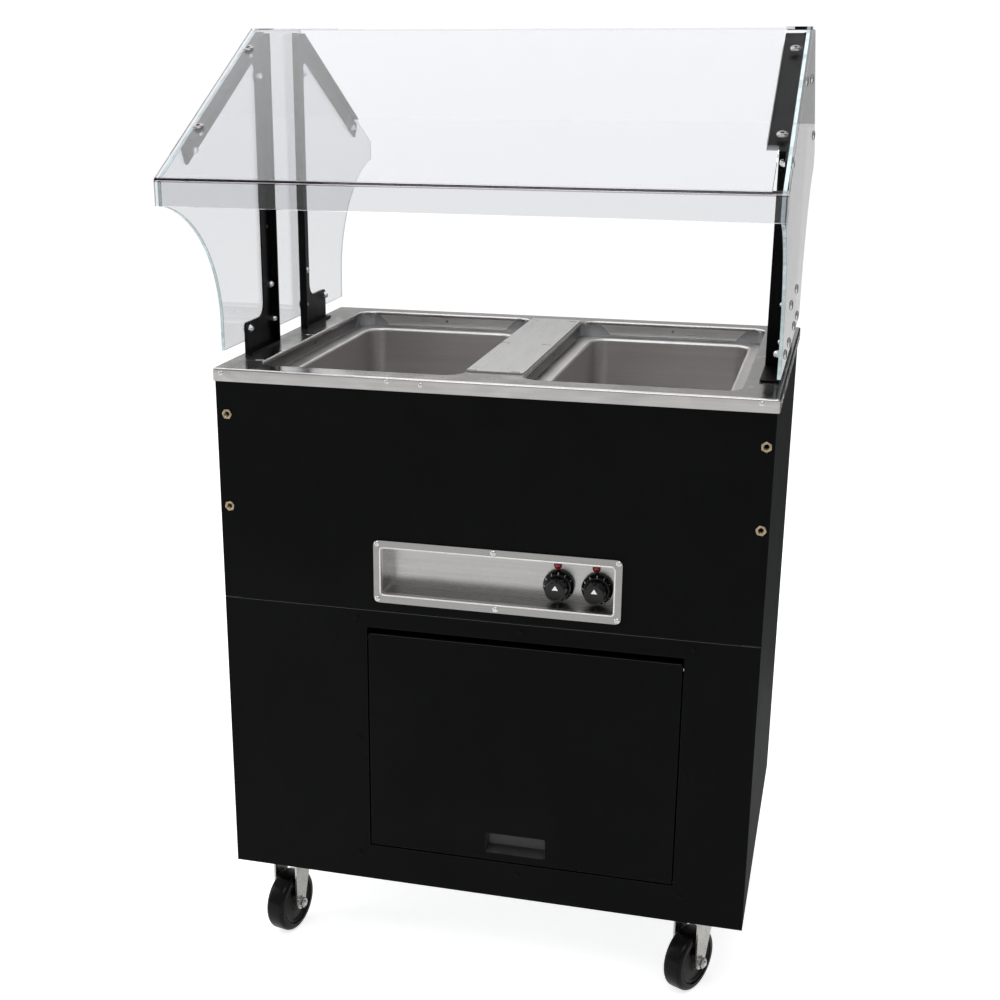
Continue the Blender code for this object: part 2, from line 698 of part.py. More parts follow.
def make_door_carriage_and_tracks():
    """The rod that the door swings on; its end blocks slide back in two tracks under the deck."""
    reach = TRACK_WEB - 0.001
    rod = cylinders("rod", [(0, 0, ROD_RADIUS, -reach + 0.004, reach - 0.004)], 16)
    rod = add_part("door_carriage", rod, STEEL, facing_right(DOOR_MIDDLE, PIVOT_Y, PIVOT_Z))
    block_low = TRACK_BOTTOM + GAP
    for side in SIDES.values():
        inner, outer = sorted((DOOR_MIDDLE + side * (reach - 0.011), DOOR_MIDDLE + side * reach))
        block = [((inner, PIVOT_Y - 0.005, block_low), (outer, PIVOT_Y + 0.015, PIVOT_Z + 0.0077))]
        join(rod, boxes("slider", block))
    start = INSIDE_FRONT + POST_SHEET + GAP + PANEL_SHEET + GAP
    top = DECK_TOP - PANEL_SHEET - GAP
    for name, side in SIDES.items():
        web = DOOR_MIDDLE + side * TRACK_WEB
        path = [(web + side * 0.015, top), (web, top), (web, TRACK_BOTTOM),
                (web - side * TRACK_FLANGE, TRACK_BOTTOM)]
        mesh = folded_sheet("track", path, TRACK_END - start)
        track = add_part(f"door_track_{name}", mesh, GALVANISED, facing_front(y=TRACK_END))
        solidify(track, POST_SHEET, offset=-side)


# Casters

def make_casters():
    for end, toward_y in ENDS.items():
        swivel_y = BODY_FRONT + CASTER_INSET if toward_y < 0 else BODY_REAR - CASTER_INSET
        for name, side in SIDES.items():
            make_caster(f"{end}_{name}", (side * CASTER_X, swivel_y, 0.0))


def make_caster(name, place):
    plate_top, plate_sheet, head_bottom = BODY_BOTTOM - GAP, 0.004, 0.0135
    base = add_part(f"caster_plate_{name}", plate(
        "caster_plate", [rounded_rectangle((0, 0), (0.050, 0.040), 0.006, 3)]
        + [circle(x, y, 0.0045, 8) for x in (-0.038, 0.038) for y in (-0.028, 0.028)], plate_sheet),
        ZINC, Matrix.Translation((place[0], place[1], plate_top - plate_sheet / 2)))
    head = plate_top - plate_sheet
    lower = Matrix.Translation((place[0], place[1], 0))
    join(base, turned_mesh([(0.0, head + 0.001), (0.030, head + 0.001), (0.030, head - 0.002),
                            (0.024, head - 0.007), (0.006, head - 0.007), (0.006, 0.1235),
                            (0.010, 0.1235), (0.010, 0.1205), (0.0, 0.1205)]), lower)
    swivel = bpy.data.objects.new(f"swivel_{name}", None)
    PARTS.objects.link(swivel)
    swivel.location = place
    swivel.rotation_euler = (0, 0, math.radians(SWIVELS[name]))
    make_fork(name, swivel, head - 0.007 - GAP)
    make_wheel_and_axle(name, swivel)


def turned_mesh(profile, steps=18):
    """The mesh of a turned shape about local Z, for joining to another one."""
    shape = bmesh.new()
    ring = [shape.verts.new((radius, 0.0, height)) for radius, height in profile]
    edges = [shape.edges.new(pair) for pair in zip(ring, ring[1:])]
    bmesh.ops.spin(shape, geom=ring + edges, cent=(0, 0, 0), axis=(0, 0, 1), steps=steps,
                   angle=2 * math.pi, use_merge=True)
    bmesh.ops.remove_doubles(shape, verts=shape.verts, dist=1e-6)
    bmesh.ops.recalc_face_normals(shape, faces=shape.faces)
    return finish_mesh("turned", shape)


def make_fork(name, swivel, top):
    crown_top, crown_bottom, tip = 0.1290, 0.1255, 0.012
    front, back = -CASTER_TRAIL - tip, 0.026
    crown = plate("crown", [rectangle((-FORK_GAP - FORK_SHEET + 0.0005, front),
                                      (FORK_GAP + FORK_SHEET - 0.0005, back), 0.008, 4)],
                  crown_top - crown_bottom)
    fork = add_part(f"caster_fork_{name}", crown, ZINC,
                    Matrix.Translation((0, 0, (crown_top + crown_bottom) / 2)), swivel)
    race = [(0.0, top), (0.024, top), (0.026, top - 0.002), (0.026, crown_top - 0.001),
            (0.0, crown_top - 0.001)]
    join(fork, turned_mesh(race), parent=swivel)
    leg_top = crown_top - 0.001
    tip_angles = [math.pi + i * math.pi * 0.86 / 8 for i in range(9)]
    leg = [(front, leg_top)]
    leg += [(-CASTER_TRAIL + tip * math.cos(a), WHEEL_RADIUS + tip * math.sin(a)) for a in tip_angles]
    leg += [(0.010, leg_top)]
    for side in SIDES.values():
        mesh = plate("leg", [leg, circle(-CASTER_TRAIL, WHEEL_RADIUS, AXLE_RADIUS + GAP)], FORK_SHEET)
        join(fork, mesh, facing_right(side * (FORK_GAP + FORK_SHEET / 2)), swivel)
    cut(fork, cylinders("pin_hole", [(0, 0, 0.0065, 0.110, 0.150)], 20), parent=swivel)


def make_wheel_and_axle(name, swivel):
    hub, bore = FORK_GAP - 0.0006, AXLE_RADIUS + GAP
    profile = [(bore, hub), (0.015, hub), (0.016, 0.009), (0.036, 0.009), (0.040, WHEEL_HALF),
               (0.0465, 0.0140), (0.0492, 0.0085), (WHEEL_RADIUS, 0.0)]
    profile += [(radius, -x) for radius, x in reversed(profile[:-1])]
    centre = Matrix.Translation((0, -CASTER_TRAIL, WHEEL_RADIUS)) @ Matrix.Rotation(math.pi / 2, 4, "Y")
    turned(f"wheel_{name}", profile, BLACK_RUBBER, centre, steps=28, closed=True, parent=swivel)
    outside = FORK_GAP + FORK_SHEET + GAP
    rod = cylinders("axle", [(0, 0, AXLE_RADIUS, -outside - 0.002, outside + 0.002)], 20)
    axle = add_part(f"axle_{name}", rod, ZINC, centre, swivel)
    for side in SIDES.values():
        low, high = sorted((side * outside, side * (outside + 0.006)))
        join(axle, cylinders("nut", [(0, 0, 0.0088, low, high)], 6), centre, swivel)


# Food guard

SLOPE = (Vector(GUARD_PEAK) - Vector(GUARD_FOLD)).normalized()
SLOPE_OUT = Vector((-SLOPE[1], SLOPE[0]))
UNDERSIDE = ACRYLIC + GAP


def under_slope(y, depth=UNDERSIDE):
    """Height above the counter of the line that lies depth under the sloped panel's face."""
    start = Vector(GUARD_PEAK) - SLOPE_OUT * depth
    return start[1] + (y - start[0]) * SLOPE[1] / SLOPE[0]


def make_front_guard_panel():
    lip = (GUARD_FOLD[0], GUARD_FOLD[1] - GUARD_LIP)
    bend = rounded([(*lip, 0), (*GUARD_FOLD, GUARD_BEND), (*GUARD_PEAK, 0)], 6)
    panel = add_part("front_guard_panel", folded_sheet("guard", bend, WIDTH), CLEAR_ACRYLIC,
                     facing_right(-WIDTH / 2, 0, COUNTER_TOP))
    solidify(panel, ACRYLIC, offset=1.0)


def mirrored(points, middle):
    """(depth, height) points of the front half, turned over to the rear half, in reverse order."""
    return [(2 * middle - y, z) for y, z in reversed(points)]


def make_end_panels():
    """Clear ends: straight sides, a hollow sweep up to the lip, and the two slopes."""
    lip_y = GUARD_FOLD[0] + UNDERSIDE
    lip_low = GUARD_FOLD[1] - GUARD_LIP
    top = GUARD_PEAK[1] - 0.0022
    peak_y = GUARD_PEAK[0] + 0.0095
    fold_z = under_slope(lip_y)
    half = [(peak_y, top), (lip_y, fold_z), (lip_y, lip_low)]
    half += sweep_points((lip_y, lip_low), (-0.270, 0.060))
    half += [(-0.270, PANEL_CLEARANCE)]
    outline = half + mirrored(half, END_PANEL_MIDDLE)
    for name, side in SIDES.items():
        add_part(f"end_panel_{name}", plate("end_panel", [outline], END_ACRYLIC), CLEAR_ACRYLIC,
                 facing_right(side * (END_OUTER - END_ACRYLIC / 2), 0, COUNTER_TOP))


def sweep_points(start, end, steps=9):
    """The hollow curve of an end panel: it leaves the lip nearly level and ends upright."""
    points = []
    for step in range(1, steps + 1):
        angle = math.radians(12 + 78 * step / steps)
        first = math.radians(12)
        across = (math.sin(angle) - math.sin(first)) / (1 - math.sin(first))
        down = (math.cos(first) - math.cos(angle)) / math.cos(first)
        points.append((start[0] + (end[0] - start[0]) * across, start[1] + (end[1] - start[1]) * down))
    return points


def make_guard_brackets():
    for end in ENDS:
        for name, side in SIDES.items():
            make_bracket(f"guard_bracket_{end}_{name}", side, end == "rear", FLANGES[name])


def make_bracket(name, side, is_rear, flange):
    """Folded sheet: a post and an arm in one plane, with flanges on foot, post and arm."""
    base = GAP
    lower_line = UNDERSIDE + ARM_DEPTH
    crown = under_slope(CROWN_FRONT)
    arm_tip = Vector((ARM_END, under_slope(ARM_END))) - SLOPE_OUT * ARM_DEPTH
    outline = rounded([
        (BASE_FRONT, base, 0), (BASE_FRONT, BASE_HEIGHT, 0.006), (POST_FRONT, BASE_HEIGHT, 0.020),
        (POST_FRONT, under_slope(POST_FRONT, lower_line), 0.010), (*arm_tip, 0.004),
        (ARM_END, under_slope(ARM_END), 0.003), (CROWN_FRONT, crown, 0),
        (POST_REAR, crown, 0), (POST_REAR, base, 0)], 5)
    holes = list(BRACKET_HOLES)
    if is_rear:
        outline, holes = mirrored(outline, BRACKET_MIDDLE), mirrored(holes, BRACKET_MIDDLE)
    circles = [circle(*hole, 0.0035, 12) for hole in holes]
    middle_x = side * (BRACKET_OUTER - BRACKET_SHEET / 2)
    bracket = add_part(name, plate("bracket", [outline] + circles, BRACKET_SHEET), BLACK_PAINT,
                       facing_right(middle_x, 0, COUNTER_TOP))
    low_x, high_x = sorted((side * (BRACKET_OUTER - 0.0002), side * (BRACKET_OUTER - flange)))
    for line in bracket_flanges():
        if is_rear:
            line = mirrored(line, BRACKET_MIDDLE)
        mesh = folded_sheet("flange", line, high_x - low_x)
        tool = add_tool(mesh, facing_right(low_x, 0, COUNTER_TOP))
        solidify(tool, BRACKET_SHEET, offset=1.0)
        combine(bracket, tool, "UNION")


def bracket_flanges():
    """Lines of the front bracket's flanges, along their outer faces; the sheet lies to the right."""
    line = UNDERSIDE + 0.0001
    arm_low, arm_high = ARM_END + ARM_FLANGE_SETBACK, CROWN_FRONT - 0.001
    rear = POST_REAR - 0.0001
    foot = GAP + 0.0001
    return (
        ((arm_low, under_slope(arm_low, line)), (arm_high, under_slope(arm_high, line))),
        ((rear, under_slope(CROWN_FRONT) - 0.002), (rear, foot)),
        ((rear - 0.004, foot), (BASE_FRONT + 0.001, foot)),
    )


for old in list(bpy.data.objects):
    bpy.data.objects.remove(old, do_unlink=True)

PARTS = new_collection("steam_table")
CUTTERS = new_collection("cutters")

STAINLESS = new_material("stainless", (0.62, 0.62, 0.61), 0.30, 1.0)
PAN_STEEL = new_material("pan_steel", (0.42, 0.40, 0.38), 0.38, 1.0)
BLACK_PAINT = new_material("black_paint", (0.012, 0.012, 0.013), 0.42, 0.0)
GALVANISED = new_material("galvanised", (0.50, 0.51, 0.52), 0.45, 1.0)
ZINC = new_material("zinc", (0.66, 0.64, 0.58), 0.32, 1.0)
STEEL = new_material("steel", (0.45, 0.45, 0.46), 0.35, 1.0)
ELEMENT_STEEL = new_material("element_steel", (0.20, 0.19, 0.18), 0.50, 1.0)
CLEAR_ACRYLIC = new_material("clear_acrylic", (0.93, 0.96, 0.97), 0.05, 0.0, 0.25)
BLACK_PLASTIC = new_material("black_plastic", (0.015, 0.015, 0.016), 0.35, 0.0)
BLACK_RUBBER = new_material("black_rubber", (0.020, 0.020, 0.020), 0.55, 0.0)
PHENOLIC = new_material("phenolic", (0.05, 0.035, 0.03), 0.50, 0.0)
RED_LENS = new_material("red_lens", (0.45, 0.02, 0.02), 0.15, 0.0)

make_counter()
make_divider()
make_wells()
make_front_panels()
make_side_and_rear_panels()
make_floor_and_deck()
make_corner_posts()
make_control_tray()
make_bezel()
make_thermostats_and_knobs()
make_supply_entry()
make_door()
make_door_carriage_and_tracks()
make_casters()
make_front_guard_panel()
make_end_panels()
make_guard_brackets()
bpy.context.view_layer.update()
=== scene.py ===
"""Looks of the two-well steam table: finishes, fasteners and the fine shapes of its parts.

Metres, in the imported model's own frame: X to the right along the counter, -Y the front, Z up.
"""

import json
import math

import bmesh
import bpy
from mathutils import Matrix, Vector


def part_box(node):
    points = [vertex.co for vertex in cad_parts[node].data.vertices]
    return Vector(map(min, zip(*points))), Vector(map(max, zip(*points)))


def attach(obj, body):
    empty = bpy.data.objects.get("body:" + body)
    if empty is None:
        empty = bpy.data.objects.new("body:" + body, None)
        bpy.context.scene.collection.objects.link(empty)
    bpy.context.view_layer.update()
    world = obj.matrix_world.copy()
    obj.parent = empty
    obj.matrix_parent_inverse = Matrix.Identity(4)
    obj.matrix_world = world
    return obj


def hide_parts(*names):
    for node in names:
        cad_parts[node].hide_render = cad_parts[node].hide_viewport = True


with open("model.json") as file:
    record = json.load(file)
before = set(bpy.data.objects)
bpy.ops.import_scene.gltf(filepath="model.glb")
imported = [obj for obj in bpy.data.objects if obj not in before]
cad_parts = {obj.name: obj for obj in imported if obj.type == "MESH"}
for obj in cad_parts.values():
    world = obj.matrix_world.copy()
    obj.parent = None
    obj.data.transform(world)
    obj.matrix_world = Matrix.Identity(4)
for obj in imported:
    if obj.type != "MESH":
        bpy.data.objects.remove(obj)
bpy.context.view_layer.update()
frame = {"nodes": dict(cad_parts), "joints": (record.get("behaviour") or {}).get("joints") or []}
NODES = frame["nodes"]
JOINTS = {joint["name"]: joint for joint in frame["joints"]}
CORNERS = [f"{end}_{side}" for end in ("front", "rear") for side in ("left", "right")]
MM = 0.001
# Turns that lay local XY on the front, with Z to the viewer, or on a side, with Z along the counter
TO_FRONT = Matrix.Rotation(math.pi / 2, 4, "X")
TO_SIDE = Matrix(((0, 0, 1, 0), (1, 0, 0, 0), (0, 1, 0, 0), (0, 0, 0, 1)))


# Node materials

class Nodes:
    """A small builder for one material's node tree."""

    def __init__(self, name):
        self.material = bpy.data.materials.new(name)
        self.material.use_nodes = True
        self.tree = self.material.node_tree
        self.shader = self.tree.nodes["Principled BSDF"]
        self.coordinates = self.tree.nodes.new("ShaderNodeTexCoord").outputs["Object"]

    def add(self, kind, **settings):
        node = self.tree.nodes.new(kind)
        for key, value in settings.items():
            setattr(node, key, value)
        return node

    def link(self, source, target):
        self.tree.links.new(source, target)

    def set(self, **values):
        for key, value in values.items():
            socket = self.shader.inputs[key.replace("_", " ")]
            socket.default_value = (*value, 1.0) if isinstance(value, tuple) else value
        return self

    def noise(self, scale=10.0, detail=3.0, rough=0.5, distortion=0.0, stretch=(1, 1, 1)):
        mapping = self.add("ShaderNodeMapping")
        mapping.inputs["Scale"].default_value = stretch
        self.link(self.coordinates, mapping.inputs["Vector"])
        noise = self.add("ShaderNodeTexNoise")
        noise.inputs["Scale"].default_value = scale
        noise.inputs["Detail"].default_value = detail
        noise.inputs["Roughness"].default_value = rough
        noise.inputs["Distortion"].default_value = distortion
        self.link(mapping.outputs[0], noise.inputs["Vector"])
        return noise.outputs["Fac"]

    def span(self, value, low, high, start=0.0, end=1.0):
        """Maps the range start..end of a value to low..high."""
        node = self.add("ShaderNodeMapRange")
        node.inputs["From Min"].default_value = start
        node.inputs["From Max"].default_value = end
        node.inputs["To Min"].default_value = low
        node.inputs["To Max"].default_value = high
        self.link(value, node.inputs["Value"])
        return node.outputs["Result"]

    def math(self, operation, first, second):
        node = self.add("ShaderNodeMath", operation=operation)
        for socket, value in zip(node.inputs, (first, second)):
            if isinstance(value, (int, float)):
                socket.default_value = value
            else:
                self.link(value, socket)
        return node.outputs[0]

    def mix(self, factor, first, second):
        node = self.add("ShaderNodeMix", data_type="RGBA")
        self.link(factor, node.inputs["Factor"])
        for socket, value in ((node.inputs[6], first), (node.inputs[7], second)):
            if isinstance(value, tuple):
                socket.default_value = (*value, 1.0)
            else:
                self.link(value, socket)
        return node.outputs[2]

    def bump(self, height, strength, distance, under=None):
        node = self.add("ShaderNodeBump")
        node.inputs["Strength"].default_value = strength
        node.inputs["Distance"].default_value = distance
        self.link(height, node.inputs["Height"])
        if under:
            self.link(under, node.inputs["Normal"])
        self.link(node.outputs["Normal"], self.shader.inputs["Normal"])
        return node.outputs["Normal"]

    def edges(self, width=0.0015):
        """1 on sharp edges and 0 elsewhere, from the difference a small bevel makes."""
        bevel = self.add("ShaderNodeBevel", samples=4)
        bevel.inputs["Radius"].default_value = width
        geometry = self.add("ShaderNodeNewGeometry")
        dot = self.add("ShaderNodeVectorMath", operation="DOT_PRODUCT")
        self.link(bevel.outputs["Normal"], dot.inputs[0])
        self.link(geometry.outputs["Normal"], dot.inputs[1])
        return self.span(dot.outputs["Value"], 1.0, 0.0, 0.80, 0.995)

    def drive(self, name, value):
        self.link(value, self.shader.inputs[name])


def brushed_metal(name, grain, dark, light, rough, smudge=0.10, scratch=0.25, depth=0.00002, wave=0.0):
    """Sheet metal brushed along one axis, with smudges, fine scratches, uneven polish and slight waves."""
    nodes = Nodes(name)
    stretch = tuple(0.012 if axis == grain else 1.0 for axis in "xyz")
    streaks = nodes.noise(1500.0, 2.0, 0.6, stretch=stretch)
    broad = nodes.noise(160.0, 2.0, 0.5, stretch=stretch)
    smudges = nodes.noise(9.0, 5.0, 0.6, 0.6)
    swirl = nodes.noise(42.0, 4.0, 0.65, 1.4)
    tone = nodes.math("ADD", nodes.math("MULTIPLY", streaks, 0.45), nodes.math("MULTIPLY", broad, 0.55))
    color = nodes.mix(nodes.span(tone, 0.0, 1.0, 0.30, 0.70), dark, light)
    nodes.drive("Base Color", color)
    shine = nodes.math("ADD", nodes.span(smudges, 0.0, smudge, 0.35, 0.75),
                       nodes.span(streaks, -0.04, 0.06, 0.3, 0.7))
    shine = nodes.math("ADD", shine, nodes.span(swirl, 0.0, 0.6 * smudge, 0.55, 0.80))
    nodes.drive("Roughness", nodes.math("ADD", shine, rough))
    under = nodes.bump(nodes.noise(11.0, 2.0, 0.5, 0.4, stretch=(1, 1, 1.6)), 1.0, wave) if wave else None
    nodes.bump(streaks, scratch, depth, under)
    return nodes.set(Metallic=1.0).material


def powder_coat(name, color, rough, peel=0.10, specular=0.35):
    """Satin paint: fine orange peel, faint rubbing and dust, lighter worn edges."""
    nodes = Nodes(name)
    fine = nodes.noise(900.0, 2.0, 0.5)
    wave = nodes.noise(140.0, 2.0, 0.5)
    dust = nodes.noise(6.0, 6.0, 0.62, 0.4)
    rub = nodes.noise(55.0, 5.0, 0.7, 0.8, stretch=(1.0, 1.0, 0.25))
    lighter = tuple(part * 1.2 + 0.0018 for part in color)
    shade = nodes.mix(nodes.span(dust, 0.0, 1.0, 0.42, 0.78), color, lighter)
    worn = tuple(part * 3.0 + 0.02 for part in color)
    nodes.drive("Base Color", nodes.mix(nodes.math("MULTIPLY", nodes.edges(0.0012), 0.7), shade, worn))
    shine = nodes.math("ADD", nodes.span(rub, -0.05, 0.08, 0.35, 0.75), nodes.span(dust, 0.0, 0.10, 0.4, 0.8))
    nodes.drive("Roughness", nodes.math("ADD", shine, rough))
    height = nodes.math("ADD", nodes.math("MULTIPLY", fine, 0.35), nodes.math("MULTIPLY", wave, 0.65))
    nodes.bump(height, peel, 0.0004)
    return nodes.set(Specular_IOR_Level=specular).material


def plated(name, dark, light, rough, spangle=60.0):
    """Plated metal: a soft cloudy tone and small dull spots."""
    nodes = Nodes(name)
    cloud = nodes.noise(spangle, 4.0, 0.6, 0.5)
    spots = nodes.noise(420.0, 3.0, 0.6)
    tone = nodes.mix(nodes.span(cloud, 0.0, 1.0, 0.35, 0.65), dark, light)
    nodes.drive("Base Color", tone)
    shine = nodes.math("ADD", nodes.span(cloud, 0.0, 0.12, 0.35, 0.7),
                       nodes.span(spots, -0.04, 0.08, 0.4, 0.7))
    nodes.drive("Roughness", nodes.math("ADD", shine, rough))
    nodes.bump(spots, 0.15, 0.0001)
    return nodes.set(Metallic=1.0).material


def moulded(name, color, rough, grain=700.0, strength=0.15, specular=0.5, coat=0.0):
    """Moulded plastic or rubber: fine texture, faint flow marks, light dust."""
    nodes = Nodes(name)
    fine = nodes.noise(grain, 3.0, 0.6)
    flow = nodes.noise(35.0, 4.0, 0.6, 0.8)
    lighter = tuple(part * 1.8 + 0.002 for part in color)
    nodes.drive("Base Color", nodes.mix(nodes.span(flow, 0.0, 1.0, 0.4, 0.8), color, lighter))
    nodes.drive("Roughness", nodes.math("ADD", nodes.span(flow, -0.05, 0.10, 0.35, 0.75), rough))
    nodes.bump(fine, strength, 0.0002)
    return nodes.set(Specular_IOR_Level=specular, Coat_Weight=coat).material


def clear_acrylic(name, tint, haze=0.02, ior=1.49):
    """Clear cast acrylic with a faint tint, hairline wipe marks and very slight dust."""
    nodes = Nodes(name)
    wipes = nodes.noise(90.0, 4.0, 0.6, 1.2, stretch=(0.3, 1.0, 1.0))
    hair = nodes.noise(900.0, 2.0, 0.5, stretch=(0.05, 1.0, 1.0))
    marks = nodes.math("ADD", nodes.span(wipes, 0.0, haze, 0.5, 0.8), nodes.span(hair, 0.0, 0.02, 0.55, 0.75))
    nodes.drive("Roughness", nodes.math("ADD", marks, 0.012))
    wiped = tuple(part * 0.985 for part in tint)
    nodes.drive("Base Color", nodes.mix(nodes.span(wipes, 0.0, 1.0, 0.3, 0.8), tint, wiped))
    return nodes.set(Transmission_Weight=1.0, IOR=ior).material


TOP_STEEL = brushed_metal("top_steel", "x", (0.50, 0.485, 0.475), (0.68, 0.665, 0.655), 0.15, wave=0.0022)
PLATE_STEEL = brushed_metal("plate_steel", "y", (0.585, 0.58, 0.575), (0.61, 0.605, 0.60), 0.30, 0.015, 0.06)
# Painted light: a lighter copy of the top's brushed steel, standing in for the light on the wells' end strips
# and the highlight along the bezel's rolled lip
LIT_STRIP_STEEL = brushed_metal("lit_strip_steel", "x", (0.76, 0.75, 0.74), (0.90, 0.89, 0.88), 0.28, wave=0.0015)
# Painted shade: a darker copy of the brushed steel for the wells' side strips, which lie in shade
PAINTED_SHADE_STEEL = brushed_metal("painted_shade_steel", "y", (0.11, 0.107, 0.105),
                             (0.16, 0.155, 0.15), 0.30, wave=0.0008)
TRIM_STEEL = brushed_metal("trim_steel", "x", (0.32, 0.315, 0.305),
                           (0.38, 0.375, 0.365), 0.22, 0.06, wave=0.0006)
# Painted light: a lighter copy of the trim steel for the control recess, standing in for the light that
# reaches into it
LIT_RECESS_STEEL = brushed_metal("lit_recess_steel", "x", (0.43, 0.425, 0.415),
                             (0.52, 0.515, 0.505), 0.24, 0.05, wave=0.0004)
WELL_STEEL = brushed_metal("well_steel", "x", (0.62, 0.60, 0.59), (0.72, 0.70, 0.69), 0.34, 0.10, 0.3)
GALVANISED = plated("galvanised", (0.36, 0.37, 0.38), (0.52, 0.53, 0.54), 0.40, 24.0)
ZINC = plated("zinc", (0.50, 0.49, 0.46), (0.66, 0.65, 0.62), 0.22, 22.0)
BRIGHT = plated("bright_fastener", (0.60, 0.60, 0.61), (0.84, 0.84, 0.85), 0.13, 260.0)
BRASS = plated("yellow_brass", (0.34, 0.27, 0.17), (0.54, 0.45, 0.31), 0.26, 120.0)
SHEATH = plated("element_sheath", (0.07, 0.065, 0.06), (0.15, 0.14, 0.13), 0.45, 90.0)
PAINT = powder_coat("black_powder_coat", (0.0012, 0.0014, 0.0016), 0.46, specular=0.075)
# Painted sheen: the same black coat made lighter on the side panels, standing in for the grazing reflection
# there
SHEEN_SIDE_PAINT = powder_coat("side_sheen_powder_coat", (0.034, 0.035, 0.036), 0.62, specular=0.02)
# Painted highlight: a lighter paint for thin lines along the front seam and the door's top fold
EDGE_HIGHLIGHT_PAINT = powder_coat("painted_edge_highlight", (0.020, 0.020, 0.021), 0.40, specular=0.30)
BRACKET_PAINT = powder_coat("bracket_black", (0.0014, 0.0014, 0.0016), 0.36, specular=0.08)
PLASTIC = moulded("black_knob_plastic", (0.0035, 0.0035, 0.0038), 0.16, 900.0, 0.05, 0.35)
CUP_PLASTIC = moulded("cup_plastic", (0.018, 0.018, 0.019), 0.34, 700.0, 0.20, 0.5)
RUBBER = moulded("black_rubber", (0.0012, 0.0012, 0.0012), 0.24, 420.0, 0.10, 0.17)
HUB = moulded("wheel_hub", (0.0022, 0.0022, 0.0022), 0.34, 500.0, 0.20, 0.22)
DULL_BOLT = plated("dull_bolt", (0.26, 0.25, 0.25), (0.46, 0.45, 0.45), 0.18, 300.0)
PHENOLIC = moulded("phenolic", (0.040, 0.024, 0.018), 0.48, 500.0, 0.25)
MARKS = moulded("white_marks", (0.80, 0.80, 0.78), 0.45, 900.0, 0.10)
# Painted shade: a near-black sheet laid into each slot, where there is only shadow
SHADOW = moulded("painted_slot_shade", (0.006, 0.006, 0.006), 0.6, 500.0, 0.1, 0.1)
LENS = moulded("red_lens", (0.26, 0.004, 0.008), 0.10, 260.0, 0.10, 0.5, 0.6)
ACRYLIC = clear_acrylic("clear_acrylic", (0.76, 0.77, 0.79))
# Painted shade: the slope's copy of the acrylic is tinted darker than the lip's, standing in for the greyer
# look its reflections give it
SHADED_SLOPE_ACRYLIC = clear_acrylic("shaded_slope_acrylic", (0.70, 0.71, 0.735))
# Over the right bracket: an index close to air's takes the reflection away, so the flange shows black
CLAMPED_ACRYLIC = clear_acrylic("clamped_acrylic", (0.90, 0.905, 0.915), ior=1.01)
# Painted shade: a dark-tinted copy of the acrylic on the bend and the top cut edge, standing in for the dark
# line the sheet's internal reflection gives there
SHADED_BEND_ACRYLIC = clear_acrylic("shaded_bend_acrylic", (0.42, 0.39, 0.43))
CUT_EDGE = moulded("sawn_acrylic_edge", (0.52, 0.63, 0.64), 0.30, 600.0, 0.20, 0.6)


# Shapes

def to_mesh(name, shape, angle=32.0):
    mesh = bpy.data.meshes.new(name)
    shape.to_mesh(mesh)
    shape.free()
    mesh.shade_smooth()
    mesh.set_sharp_from_angle(angle=math.radians(angle))
    return mesh


def new_object(name, data):
    obj = bpy.data.objects.new(name, data)
    bpy.context.scene.collection.objects.link(obj)
    return obj


def add_piece(name, mesh, material, body, place=Matrix(), replaces=()):
    obj = new_object(name, mesh)
    mesh.materials.clear()
    mesh.materials.append(material)
    obj.matrix_world = place
    if replaces:
        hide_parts(*replaces)
    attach(obj, body)
    return obj


def arc(radius, start, end, steps):
    """Points (cos, sin) times radius, from start to end degrees."""
    angles = [math.radians(start + (end - start) * i / steps) for i in range(steps + 1)]
    return [(radius * math.cos(a), radius * math.sin(a)) for a in angles]


def rounded_rectangle(middle, half, radius, steps=10):
    points = []
    for sign_u, sign_v, start in ((1, -1, -90), (1, 1, 0), (-1, 1, 90), (-1, -1, 180)):
        corner = (middle[0] + sign_u * (half[0] - radius), middle[1] + sign_v * (half[1] - radius))
        points += [(corner[0] + u, corner[1] + v) for u, v in arc(radius, start, start + 90, steps)]
    return points


def add_ring(shape, outline, height):
    return [shape.verts.new((u, v, height)) for u, v in outline]


def bridge(shape, outer, inner):
    """Quads between two rings; their normals point to the inside when the second is lower."""
    for i, corner in enumerate(outer):
        following = (i + 1) % len(outer)
        shape.faces.new((corner, outer[following], inner[following], inner[i]))


def fill_between(shape, outer, holes):
    """The flat face inside one ring and outside the others."""
    edges = []
    for ring in (outer, *holes):
        for first, second in zip(ring, ring[1:] + ring[:1]):
            edges.append(shape.edges.get((first, second)) or shape.edges.new((first, second)))
    made = bmesh.ops.triangle_fill(shape, use_beauty=True, use_dissolve=False, edges=edges)
    faces = [item for item in made["geom"] if isinstance(item, bmesh.types.BMFace)]
    for face in faces:
        face.normal_update()
        if face.normal.z < 0:
            face.normal_flip()


def turned(name, profile, steps=48, closed=False):
    """A shape turned about local Z from (radius, height) points."""
    shape = bmesh.new()
    ring = [shape.verts.new((radius, 0.0, height)) for radius, height in profile]
    edges = [shape.edges.new(pair) for pair in zip(ring, ring[1:])]
    if closed:
        edges.append(shape.edges.new((ring[-1], ring[0])))
    bmesh.ops.spin(shape, geom=ring + edges, cent=(0, 0, 0), axis=(0, 0, 1), steps=steps,
                   angle=2 * math.pi, use_merge=True)
    bmesh.ops.remove_doubles(shape, verts=shape.verts, dist=1e-6)
    bmesh.ops.recalc_face_normals(shape, faces=shape.faces)
    return to_mesh(name, shape)


def box_mesh(name, low, high):
    shape = bmesh.new()
    low, high = Vector(low), Vector(high)
    size = Matrix.Diagonal((*(high - low), 1.0))
    bmesh.ops.create_cube(shape, size=1.0, matrix=Matrix.Translation((low + high) / 2) @ size)
    return to_mesh(name, shape)


